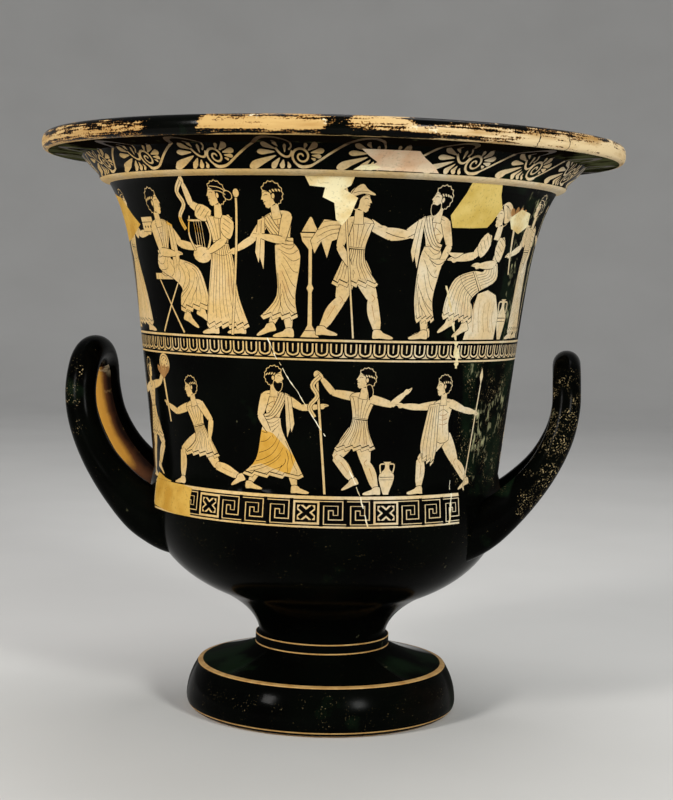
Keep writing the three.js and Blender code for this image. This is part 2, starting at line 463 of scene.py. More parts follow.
def makePlaster(name, deep, pale):
    mix = Recipe(name, 0.75, 0.2)
    base = mix.ramp(mix.noise(55, 6), (0.36, finish[deep]), (0.60, finish[pale]))
    mix.colour(mix.blend(1.0, base, toned(mix, "plasterPits"), "MULTIPLY"))
    mix.bump(160, 5, 0.35, 0.0008)
    return mix.material


handleTone = {  # low and high limit and soft edge, by the side that faces away from the wall and by height: where the painted light falls, and the rubbed tip
    "outward": (0.20, 2.0, 0.78), "upper": (0.210, 0.4, 0.036), "tip": (0.284, 0.32, 0.010),
}


def makeHandleClay():
    # orange clay with painted light on the side away from the wall and painted shade where the loop dives to
    # the wall, rubbed pale at its upper end
    mix = Recipe("handleClay", 0.5, 0.15)
    mix.measureRound()
    outward = mix.node("Attribute", {}, attribute_name="outward").outputs["Fac"]
    # painted light on the side away from the wall and up high, painted shade towards the wall and low down
    light = mix.times(mix.window(outward, *handleTone["outward"]),
                      mix.window(mix.height, *handleTone["upper"]))
    tone = mix.add(mix.times(mix.noise(60, 5), 0.4), mix.times(light, 0.6))
    base = mix.ramp(tone, (0.20, finish["handleShade"]), (0.46, finish["handleDark"]),
                    (0.76, finish["handleBright"]))
    base = mix.blend(toned(mix, "handleRub"), base, finish["clayMid"])
    tip = mix.times(mix.window(mix.height, *handleTone["tip"]), toned(mix, "handleTip"))
    mix.colour(mix.blend(tip, base, finish["clayPale"]))
    mix.bump(220, 4, 0.3, 0.0006)
    return mix.material


lip = {
    "low": 0.464, "tall": 0.017,
    "bareFrom": (  # azimuth, lower edge of the rubbed stretch as a share of the lip's height
        (-180, 0.30), (-100, 0.10), (-75, -0.10), (-60, 0.0), (-36, 0.08), (-27.5, 0.12), (-26, 0.40),
        (-16.5, 0.40), (-15, 0.0), (6.2, 0.04), (7.4, 0.80), (9.6, 0.80), (11.0, 0.52), (20, 0.50),
        (23, 0.36), (28, 0.0), (50, -0.15), (100, -0.15), (125, 0.30)),
    "bareTo": (
        (-180, 0.30), (-100, 0.55), (-75, 0.70), (-60, 0.62), (-36, 0.56), (-27.5, 0.44), (-26, 0.0),
        (-16.5, 0.0), (-15, 0.82), (6.2, 0.86), (7.4, 0.30), (9.6, 0.30), (11.0, 0.84), (12.4, 0.94),
        (19.5, 0.88), (22.5, 0.50), (28, 0.53), (38, 0.58), (50, 0.68), (75, 0.84), (100, 0.76),
        (125, 0.30)),
    "edgeLine": (
        (-180, 0.0), (-62, 0.9), (-28, 0.9), (-26, 0.0), (-15, 0.0), (-13, 0.9), (60, 1.0), (110, 1.0),
        (125, 0.0)),
    "scratches": (
        (-180, 0.0), (-62, 0.7), (-28, 0.7), (-15, 1.0), (6, 1.0), (9, 0.6), (36, 1.0), (43, 0.1),
        (125, 0.1)),
    "edgeLevels": (-0.04, 0.05, 0.04), "scratchLevels": (0.14, 0.26, 0.06),
    "paler": ((-60, 0.3), (-15, 0.0), (10, 0.1), (36, 0.9), (70, 1.0), (110, 0.6)),
    "cracks": (46.2, 54.2), "crackHalf": 0.0014, "crackEdge": 0.0012, "nickEdge": 0.004, "nickEnd": 0.05,
    "nicks": (  # azimuth, level, half width in radians, half height as a share
        (-6.0, 0.83, 0.007, 0.02), (6.4, 0.66, 0.002, 0.04), (21.4, 0.52, 0.008, 0.015),
        (24.6, 0.42, 0.010, 0.015)),
    "streaks": (  # squeeze, grain and detail of the noise, its share of the wear
        (0.016, 620, 5, 1.5), (0.10, 150, 5, 0.8), (0.24, 760, 3, 0.9)),
}


def makeWornLip():
    # gloss rubbed through to the clay in long streaks, with two joins of the mended rim
    mix = Recipe("wornLip", 0.4, 0.05)
    mix.measureRound()

    def streaks(squeeze, grain, detail, share=1.0):
        along = mix.node("CombineXYZ", {"X": mix.times(mix.angle, squeeze), "Y": mix.height, "Z": mix.far})
        return mix.times(mix.minus(mix.noise(grain, detail, along.outputs["Vector"]), 0.5), share)

    def limit(name):
        # a share from -0.5 to 1.5, packed into the 0 to 1 of a ramp
        shares = mix.byAzimuth(*((azimuth, (share + 0.5) / 2) for azimuth, share in lip[name]))
        return mix.minus(mix.times(shares, 2.0), 0.5)

    level = mix.sum("DIVIDE", mix.minus(mix.height, lip["low"]), lip["tall"])
    depth = mix.sum("MINIMUM", mix.minus(level, limit("bareFrom")), mix.minus(limit("bareTo"), level))
    scratched = mix.times(mix.window(level, *lip["scratchLevels"]), mix.byAzimuth(*lip["scratches"]), -0.34)
    wear = mix.add(depth, scratched, *(streaks(*row) for row in lip["streaks"]))
    wear = mix.add(mix.times(wear, 0.5), 0.5)
    lowerEdge = mix.window(mix.add(level, streaks(0.05, 400, 3, 0.12)), *lip["edgeLevels"])
    lowerEdge = mix.times(lowerEdge, mix.byAzimuth(*lip["edgeLine"]))
    bare = mix.sum("MAXIMUM", mix.rise(wear, 0.51, 0.54), lowerEdge)
    clay = mix.blend(mix.rise(mix.add(streaks(0.035, 110, 6), 0.5), 0.32, 0.52), finish["lipDeep"],
                     mix.blend(mix.byAzimuth(*lip["paler"]), finish["lipWarm"], finish["lipPale"]))
    thin = mix.blend(mix.rise(wear, 0.46, 0.50), addGloss(mix)[0], finish["washBrown"])
    colour = mix.blend(bare, thin, clay)
    for azimuth, middle, half, tall in lip["nicks"]:
        turned = math.radians(azimuth)
        around = mix.add(mix.angle, streaks(0.24, 300, 4, 0.05))
        across = mix.window(around, turned - half, turned + half, lip["nickEdge"])
        rough = mix.add(level, streaks(0.24, 420, 4, 0.5))
        up = mix.window(rough, middle - tall, middle + tall, lip["nickEnd"])
        colour = mix.blend(mix.times(across, up), colour, finish["lipNick"])
    for azimuth in lip["cracks"]:
        turned = math.radians(azimuth)
        gap = mix.window(mix.add(mix.angle, streaks(0.24, 160, 4, 0.03)), turned - lip["crackHalf"],
                         turned + lip["crackHalf"], lip["crackEdge"])
        colour = mix.blend(gap, colour, finish["fadedDeep"])
    mix.colour(colour)
    mix.put(mix.skin, {"Roughness": mix.ramp(bare, (0.0, 0.16), (1.0, 0.55))})
    mix.bump(260, 4, 0.25, 0.0005)
    return mix.material


# the pot's outline, radius and height in millimetres, as the solid has it

pot = {
    "rimRadius": 243, "rimMid": 472, "lipUnder": 465, "flangeRadius": 238, "wall": 8, "floor": 98,
    "footRadius": 115, "footMid": 9.5, "footEdge": 105.5, "footEdgeHeight": 39,
    "restOuter": 108, "restInner": 88, "hollowRadius": 30, "hollowHeight": 60,
    "collar": 57, "collarLow": 55.3, "collarHigh": 63.6, "stem": 53.8, "stemHeight": 64.4,
    "stepRadius": 148.2, "stepHeight": 198, "wallLow": 201, "wallTop": 440,
    "mouldingRadius": 196, "mouldingTop": 447.5, "neckRadius": 210.5, "neckTop": 462.3,
    "steps": 120,
}
bowlCurve = ((87, 100.3), (118.3, 113.1), (149.8, 138), (149.8, 180))
bandHeights = {
    "meanderLow": 174.1, "meanderLine": 175.6, "meanderTop": 196.1, "lowerFloor": 198.6, "lowerTop": 302.8,
    "eggLow": 304.2, "eggHigh": 317.5, "upperFloor": 319.2, "upperTop": 440, "mouldingPaint": 444.2,
}


def wallRadius(z):
    return 145.9 + 0.1135 * (z - 203) + 14.3 * math.exp((z - 440) / 29)


def bend(start, pull, push, end, steps):
    points = []
    for step in range(steps + 1):
        t = step / steps
        s = 1 - t
        points.append(tuple(s ** 3 * a + 3 * s * s * t * b + 3 * s * t * t * c + t ** 3 * d
                            for a, b, c, d in zip(start, pull, push, end)))
    return points


def joined(*runs):
    points = []
    for run in runs:
        for point in run:
            if not points or math.dist(points[-1], point) > 0.01:
                points.append(point)
    return points


def cutAt(points, heights):
    # puts a point on the outline at each named height
    for height in heights:
        for k in range(len(points) - 1):
            (r0, z0), (r1, z1) = points[k], points[k + 1]
            if min(z0, z1) + 0.01 < height < max(z0, z1) - 0.01:
                t = (height - z0) / (z1 - z0)
                points.insert(k + 1, (r0 + (r1 - r0) * t, height))
                break
    return points


footHollow = [(0, pot["hollowHeight"]), (pot["hollowRadius"], 57), (42, 42), (80, 13),
              (pot["restInner"], 0)]
bowlTable = bend(*bowlCurve, 60)


def bowlSide(z):
    # the outside of the bowl, its small step and the straight wall above
    bowlRadius, bowlHeight = bowlCurve[-1]
    if z < bowlHeight:
        for (r0, z0), (r1, z1) in zip(bowlTable, bowlTable[1:]):
            if z <= z1:
                return r0 + (r1 - r0) * max(0, z - z0) / (z1 - z0)
    if z < pot["stepHeight"]:
        t = (z - bowlHeight) / (pot["stepHeight"] - bowlHeight)
        return bowlRadius + (pot["stepRadius"] - bowlRadius) * t
    if z < pot["wallLow"]:
        t = (z - pot["stepHeight"]) / (pot["wallLow"] - pot["stepHeight"])
        return pot["stepRadius"] + (wallRadius(pot["wallLow"]) - pot["stepRadius"]) * t
    return wallRadius(z)


def footToBand():
    widest, edge = (pot["footRadius"], pot["footMid"]), (pot["footEdge"], pot["footEdgeHeight"])
    points = joined(
        footHollow[-1:],
        bend((pot["restOuter"], 0), (112, 1), (115, 4), widest, 6),
        bend(widest, (115, 22), (110, 32), edge, 8),
        bend(edge, (88, 42.5), (68, 48), (pot["collar"], pot["collarLow"]), 9),
        [(pot["collar"], pot["collarHigh"])],
        bend((pot["stem"], pot["stemHeight"]), (55.2, 76.5), (65.8, 89.3), bowlCurve[0], 10),
        bend(*bowlCurve, 18),
    )
    low = bandHeights["meanderLow"]
    return [(r, z) for r, z in points if z < low - 0.3] + [(bowlSide(low), low)]


def lipAndInside():
    rim, mid = pot["rimRadius"], pot["rimMid"]
    under = (pot["flangeRadius"], pot["lipUnder"])
    return joined(
        bend(under, (242, 465.4), (rim, 468), (rim, mid), 6),
        bend((rim, mid), (rim, 476.5), (241, 480), (236, 480), 6),
        [(231, 479.6)],
        bend((230, 479.2), (204, 471), (191, 458), (181, 446), 9),
        [(wallRadius(z - 2) - pot["wall"], z) for z in (432, 420, 405, 385, 360, 330, 300, 265, 230, 203)],
        bend((140.8, 182), (140.8, 130), (86, 97), (0, pot["floor"]), 16),
    )


def mouldingOutline():
    top = wallRadius(pot["wallTop"])
    return joined([(top, pot["wallTop"])],
                  bend((top + 0.6, 440.4), (193.5, 441), (196.4, 443.5),
                       (pot["mouldingRadius"], pot["mouldingTop"]), 12))


def mouldingToNeck():
    # the part of the moulding left in clay, from the top of the painted wall
    return [point for point in mouldingOutline() if point[1] < bandHeights["mouldingPaint"]]


def neckOutline():
    return joined(mouldingOutline()[len(mouldingToNeck()) - 1:],
                  bend((196.8, 448), (201, 452), (206.5, 457), (pot["neckRadius"], pot["neckTop"]), 8),
                  [(pot["flangeRadius"], pot["lipUnder"])])


# flat painting: a point is across + height * 1j in millimetres, later shapes cover earlier ones

def smooth(points, steps=4, closed=False):
    count = len(points)
    result = []
    for k in range(count if closed else count - 1):
        near = ((k + i) % count if closed else min(max(k + i, 0), count - 1) for i in (-1, 0, 1, 2))
        a, b, c, d = (points[i] for i in near)
        for step in range(steps):
            t = step / steps
            result.append(0.5 * (2 * b + (c - a) * t + (2 * a - 5 * b + 4 * c - d) * t * t
                                 + (3 * b - a - 3 * c + d) * t ** 3))
    if not closed:
        result.append(points[-1])
    return result


def loop(points, steps=3):
    return smooth(points, steps, closed=True)


def spots(base, size, *pairs):
    return [base + complex(x, y) * size for x, y in pairs]


def unit(step):
    return step / abs(step) if abs(step) > 1e-9 else 1 + 0j


def turnBy(degrees, length=1.0):
    return cmath.rect(length, math.radians(degrees))


def ribbon(path, width, endWidth=None):
    # a stroke's outline: the brush may narrow towards its end
    last = len(path) - 1
    endWidth = width if endWidth is None else endWidth
    left, right = [], []
    for k, point in enumerate(path):
        side = unit(path[min(k + 1, last)] - path[max(k - 1, 0)]) * 1j
        half = (width + (endWidth - width) * k / last) / 2
        left.append(point + side * half)
        right.append(point - side * half)
    return left + right[::-1]


def grow(outline, edge):
    area = sum((a.conjugate() * b).imag for a, b in zip(outline, outline[1:] + outline[:1]))
    turn = -1j if area > 0 else 1j
    count = len(outline)
    return [p + edge * turn * unit(unit(outline[(k + 1) % count] - p) + unit(p - outline[k - 1]))
            for k, p in enumerate(outline)]


def oval(centre, wide, high, lean=0.0, sides=12):
    angles = (k * math.tau / sides for k in range(sides))
    return [centre + complex(wide * math.cos(a), high * math.sin(a)) * turnBy(lean) for a in angles]


def petal(root, tip, width):
    # a drop with its round end at the tip
    way = tip - root
    side = unit(way) * 1j * width
    return loop([root, root + way * 0.40 + side * 0.34, root + way * 0.80 + side * 0.52, tip,
                 root + way * 0.80 - side * 0.52, root + way * 0.40 - side * 0.34])


def swing(angle, length=1.0):
    # a limb's way: 0 hangs straight down, positive swings forward
    a = math.radians(angle)
    return complex(math.sin(a), -math.cos(a)) * length


brush = {"contour": 0.5, "relief": 0.42, "wash": 0.55, "border": 1.0}


def solid(art, outline, paint="clay"):
    art += [("line", grow(outline, brush["contour"])), (paint, outline)]


def dark(art, outline, edge):
    # black shapes such as hair have a thin edge left in clay
    art += [("clay", grow(outline, edge)), ("line", outline)]


def stroke(art, points, paint="line", width=brush["relief"], steps=4):
    path = smooth(points, steps) if len(points) > 2 else points
    art.append((paint, ribbon(path, width, width * 0.6)))


def wash(art, points):
    stroke(art, points, "wash", brush["wash"])


limbs = {  # half widths at the start, middle and end, in head lengths
    "upperArm": (0.24, 0.23, 0.165), "forearm": (0.17, 0.175, 0.10), "thigh": (0.43, 0.41, 0.25),
    "shin": (0.235, 0.29, 0.115), "ankle": (0.24, 0.20, 0.115),
}
lengths = {"upperArm": 1.20, "forearm": 1.02, "thigh": 1.80, "shin": 1.68, "trunk": 2.22, "figure": 7.15}


def limb(art, start, end, kind, u, bow=0.0):
    way = unit(end - start)
    side = way * 1j
    first, middle, last = (half * u for half in limbs[kind])
    edge = brush["contour"]
    left, right, edgeLeft, edgeRight = [], [], [], []
    for k in range(8):
        t = k / 7
        half = first * (1 - t) * (1 - 2 * t) + middle * 4 * t * (1 - t) + last * t * (2 * t - 1)
        centre = start + (end - start) * t + side * bow * math.sin(math.pi * min(t * 1.4, 1))
        left.append(centre + side * half)
        right.append(centre - side * half)
        edgeLeft.append(centre + side * (half + edge))
        edgeRight.append(centre - side * (half + edge))
    art.append(("line", edgeLeft + edgeRight[::-1]))
    art.append(("clay", [start - way * first * 0.6] + left + [end + way * last * 0.7] + right[::-1]))


def onCloth(back, front, down, across):
    # a place on a cloth between its two edges
    s = min(max(down, 0), 1) * (len(back) - 1)
    k = min(int(s), len(back) - 2)
    t = s - k
    a = back[k] + (back[k + 1] - back[k]) * t
    b = front[k] + (front[k + 1] - front[k]) * t
    return a + (b - a) * across


def fold(art, back, front, start, end, sag=0.0, width=brush["relief"], ripple=0.0):
    points = []
    for k in range(7):
        t = k / 6
        down = start[0] + (end[0] - start[0]) * t + sag * math.sin(math.pi * t)
        across = start[1] + (end[1] - start[1]) * t + ripple * math.sin(t * 9)
        points.append(onCloth(back, front, down, across))
    stroke(art, points, "line", width, 2)


def cloth(art, back, front, dips, depth, border):
    # a hanging cloth with a stepped hem and a line along it
    backEdge, frontEdge = smooth(back), smooth(front)
    a, b = backEdge[-1], frontEdge[-1]
    hem = []
    for k in range(1, dips * 2):
        drop, shift = (depth, 0.35) if k % 2 else (0, -0.35)
        hem.append(a + (b - a) * (k + shift) / (dips * 2) - 1j * drop)
    solid(art, backEdge + hem + frontEdge[::-1])
    stroke(art, [p + 1j * border for p in [a] + hem + [b]], "line", brush["border"], 1)
    return backEdge, frontEdge


poses = {
    # lean, thighs, shins, near arm, far arm: degrees from hanging down, forward positive
    "stand": dict(lean=1, thighs=(5, -5), shins=(0, -10), near=(-8, 30), far=(28, 70)),
    "rest": dict(lean=-2, thighs=(-3, 14), shins=(-3, -14), near=(-20, 25), far=(55, 100)),
    "walk": dict(lean=3, thighs=(26, -14), shins=(10, -32), near=(-15, 30), far=(60, 95)),
    "stride": dict(lean=6, thighs=(46, -34), shins=(-4, -46), near=(-70, -80), far=(85, 95)),
    "lean": dict(lean=13, thighs=(-4, 10), shins=(-4, 24), near=(15, 100), far=(40, 60)),
    "dance": dict(lean=-6, thighs=(34, -12), shins=(-38, -24), near=(-75, -130), far=(100, 140)),
    "run": dict(lean=14, thighs=(62, -30), shins=(6, -72), near=(-40, 10), far=(72, 110)),
    "sit": dict(lean=-3, thighs=(84, 76), shins=(6, -12), near=(20, 85), far=(45, 80)),
    "raise": dict(lean=-2, thighs=(12, -8), shins=(2, -18), near=(20, 60), far=(120, 165)),
}
wears = {  # dips in the hem, its height off the ground, and the belt's place down the cloth
    "chiton": dict(long=True, top="shoulder", dips=6, hem=0.42, belt=0.40),
    "wrap": dict(long=True, top="shoulder", dips=4, hem=0.95),
    "mantle": dict(long=True, top="waist", dips=4, hem=0.95),
    "tunic": dict(long=False, top="shoulder", dips=5, belt=0.50),
    "loin": dict(long=False, top="waist", dips=4),
    "cloak": dict(long=False),
}
footShape = [-0.17 + 0.16j, -0.23 - 0.10j, -0.20 - 0.26j, 0.10 - 0.24j, 0.42 - 0.27j, 0.74 - 0.27j,
             0.80 - 0.20j, 0.62 - 0.10j, 0.30 + 0.02j, 0.15 + 0.16j]
handShape = [-0.10, 0.02 + 0.13j, 0.24 + 0.15j, 0.46 + 0.09j, 0.50 + 0.01j, 0.30 - 0.03j, 0.20 - 0.14j,
             0.0 - 0.11j]


def drawFoot(art, ankle, size, lift):
    # lift turns the heel up
    solid(art, [ankle + p * turnBy(-lift) * size for p in loop(footShape, 2)])


def drawHand(art, wrist, way, size):
    art.append(("clay", [wrist + p * way * size for p in loop(handShape, 2)]))
    stroke(art, [wrist + way * size * (0.26 + 0.06j), wrist + way * size * (0.46 + 0.05j)], "line", 0.35)


def drawHead(art, neck, up, size, kind):
    def at(x, y):
        return neck + size * up * complex(y, -x)

    def run(*pairs):
        return [at(x, y) for x, y in pairs]

    covered = kind in ("veil", "cap")
    solid(art, run((-0.20, -0.32), (-0.20, 0.28), (0.14, 0.24), (0.20, -0.30)))
    face = run((-0.30, 0.50), (-0.40, 0.78), (-0.28, 1.06), (0.02, 1.17), (0.26, 1.06), (0.335, 0.90),
               (0.37, 0.78), (0.465, 0.615), (0.375, 0.575), (0.405, 0.51), (0.37, 0.47), (0.395, 0.41),
               (0.35, 0.36), (0.355, 0.27), (0.25, 0.19), (0.08, 0.25), (-0.08, 0.33))
    crown = loop(run((0.30, 1.00), (0.12, 1.17), (-0.14, 1.21), (-0.40, 1.04), (-0.50, 0.74), (-0.42, 0.46),
                     (-0.24, 0.30), (-0.10, 0.34), (-0.06, 0.52), (-0.03, 0.72), (0.12, 0.88)))
    if not covered:
        middle = at(-0.1, 0.75)
        crown = [p + unit(p - middle) * size * (0.045 if k % 2 else -0.01) for k, p in enumerate(crown)]
    art += [("clay", grow(crown, 0.6)), ("clay", face), ("line", crown)]
    if kind == "bun":
        dark(art, oval(at(-0.60, 0.66), 0.20 * size, 0.17 * size, 30), 0.5)
        for y in (0.0, 0.16):
            stroke(art, run((-0.50, 0.84 - y), (-0.20, 0.98 - y), (0.24, 1.02 - y * 1.3)), "clay", 0.7)
    if kind == "long":
        dark(art, loop(run((-0.30, 0.42), (-0.46, 0.10), (-0.42, -0.26), (-0.30, -0.30), (-0.22, 0.02),
                           (-0.10, 0.34))), 0.45)
    if kind == "beard":  # with the lips left in clay
        dark(art, loop(run((0.39, 0.42), (0.37, 0.14), (0.24, -0.04), (0.06, 0.06), (-0.06, 0.30),
                           (0.00, 0.50), (0.14, 0.40), (0.28, 0.44))), 0.45)
        art.append(("clay", oval(at(0.34, 0.455), 0.05 * size, 0.025 * size)))
    if kind == "cap":
        solid(art, loop(run((-0.46, 0.80), (-0.30, 1.14), (0.0, 1.34), (0.24, 1.14), (0.56, 0.98),
                            (0.52, 0.92), (0.10, 0.96), (-0.20, 0.86))))
        stroke(art, run((-0.36, 0.94), (-0.05, 1.04), (0.30, 1.04)))
    if kind == "veil":
        solid(art, loop(run((0.22, 1.10), (-0.06, 1.24), (-0.44, 1.08), (-0.62, 0.74), (-0.46, 0.46),
                            (-0.20, 0.40), (-0.10, 0.62), (0.06, 0.86))))
        for k in range(3):
            stroke(art, run((-0.52 + 0.1 * k, 0.60), (-0.34 + 0.12 * k, 0.92 + 0.04 * k),
                            (-0.02 + 0.06 * k, 1.10)))
    if not covered and kind != "bun":
        for k in range(6):  # curls left in clay
            curl = at(-0.42 + 0.13 * k, 0.80 + 0.05 * k - 0.012 * k * k)
            art.append(("clay", oval(curl, 0.075 * size, 0.035 * size, 50, 8)))
    stroke(art, run((0.14, 0.735), (0.22, 0.775), (0.31, 0.735)), "line", 0.5, 2)
    stroke(art, run((0.10, 0.855), (0.22, 0.885), (0.35, 0.85)), "line", 0.4, 2)
    stroke(art, run((0.30, 0.49), (0.40, 0.50)), "line", 0.4)
    if not covered:
        solid(art, oval(at(-0.09, 0.64), 0.07 * size, 0.11 * size, 0, 8))


def drawSeat(art, kind, hip, u):
    seat = hip - 0.42j * u

    def at(*pairs):
        # across in head lengths, up as a share of the seat's height
        return [complex(seat.real + across * u, seat.imag * share) for across, share in pairs]

    if kind == "rock":
        solid(art, at((-1.1, 0), (-1.25, 0.5), (-0.8, 0.9), (-0.1, 1), (0.6, 0.92), (0.9, 0.5), (1.2, 0)))
        for k in range(5):
            wash(art, at((0.4 * k - 1.0, 0.15), (0.35 * k - 0.7, 0.45), (0.4 * k - 0.8, 0.75)))
        return
    for foot, top in ((-0.7, 0.9), (0.9, -0.7)):
        stroke(art, at((foot, 0), (top, 1)), "clay", 1.8)
    solid(art, spots(seat, u, (-1.0, -0.05), (-1.0, 0.22), (1.15, 0.22), (1.15, -0.05)))
    for k in range(6):
        stroke(art, spots(seat, u, (0.33 * k - 0.8, -0.02), (0.33 * k - 0.8, 0.2)))


def drawStaff(art, hand, u):
    solid(art, ribbon(spots(hand.real, u, (0.25, 0), (-0.15, 6.7)), 1.7))
    solid(art, oval(*spots(hand.real, u, (-0.16, 6.75)), 0.16 * u, 0.2 * u))


def drawSpear(art, hand, u):
    solid(art, ribbon(spots(hand.real, u, (0.3, 0), (-0.35, 6.25)), 1.3))
    solid(art, spots(hand.real, u, (-0.35, 7.15), (-0.18, 6.65), (-0.35, 6.15), (-0.50, 6.65)))


def drawTorch(art, hand, u):
    handle = spots(hand, u, (-0.2, -1.0), (0.35, 1.5))
    solid(art, ribbon(handle, 1.6, 3.0))
    for k in range(4):
        tip, = spots(handle[1], u, (0.5 * k - 0.7, 0.9 - 0.1 * abs(k - 1.5)))
        art.append(("wash", petal(handle[1], tip, 0.3 * u)))


def drawBox(art, hand, u):
    solid(art, spots(hand, u, (-0.5, 0.05), (0.65, 0.05), (0.65, 0.75), (-0.5, 0.75)))
    stroke(art, spots(hand, u, (-0.5, 0.5), (0.65, 0.5)), "line", 0.6)
    for stud in spots(hand, u, *((-0.22 + 0.3 * k, 0.27) for k in range(3))):
        art.append(("line", oval(stud, 0.07 * u, 0.07 * u, 0, 6)))


def drawLyre(art, hand, u):
    base = hand + complex(0.25, -0.3) * u
    solid(art, oval(base, 0.52 * u, 0.36 * u))
    for side in (-1, 1):
        horn = smooth(spots(base, u, (0.35 * side, 0.2), (0.62 * side, 0.9), (0.40 * side, 1.7)))
        solid(art, ribbon(horn, 1.8, 1.0))
    solid(art, ribbon(spots(base, u, (-0.55, 1.5), (0.55, 1.5)), 1.4))
    for k in range(4):
        stroke(art, spots(base, u, (-0.21 + 0.14 * k, 0.1), (-0.21 + 0.14 * k, 1.5)), "clay", 0.5)


def drawBowl(art, hand, u):
    solid(art, smooth(spots(hand, u, (-0.35, 0.28), (0.1, 0.05), (0.6, 0.28))))


def drawDrum(art, hand, u):
    middle = hand + complex(0.15, 0.35) * u
    solid(art, oval(middle, 0.62 * u, 0.62 * u, 0, 20))
    art.append(("line", oval(middle, 0.50 * u, 0.50 * u, 0, 18)))
    art.append(("clay", oval(middle, 0.46 * u, 0.46 * u, 0, 18)))
    for k in range(8):
        art.append(("line", oval(middle + turnBy(k * 45, 0.3 * u), 0.05 * u, 0.05 * u, 0, 6)))


def drawSash(art, hand, u):
    path = smooth(spots(hand, u, (0.1, 0.1), (0.5, -0.4), (0.2, -1.0), (0.6, -1.6), (0.3, -2.2)))
    solid(art, ribbon(path, 0.26 * u, 0.2 * u))
    stroke(art, path, "line", 0.4, 1)


tools = {"staff": drawStaff, "spear": drawSpear, "torch": drawTorch, "box": drawBox, "lyre": drawLyre,
         "bowl": drawBowl, "drum": drawDrum, "sash": drawSash}


def drawSleeve(art, shoulder, way, u):
    side = unit(way) * 1j * u

    def at(along, across):
        return shoulder + way * along + side * across

    solid(art, loop([at(0, 0.30), at(0.62, 0.24), at(0.70, -0.30) - 0.12j * u, at(0.1, -0.34)]))
    for k in range(3):
        stroke(art, [at(0.1 + 0.2 * k, 0.2), at(0.2 + 0.2 * k, -0.25)])


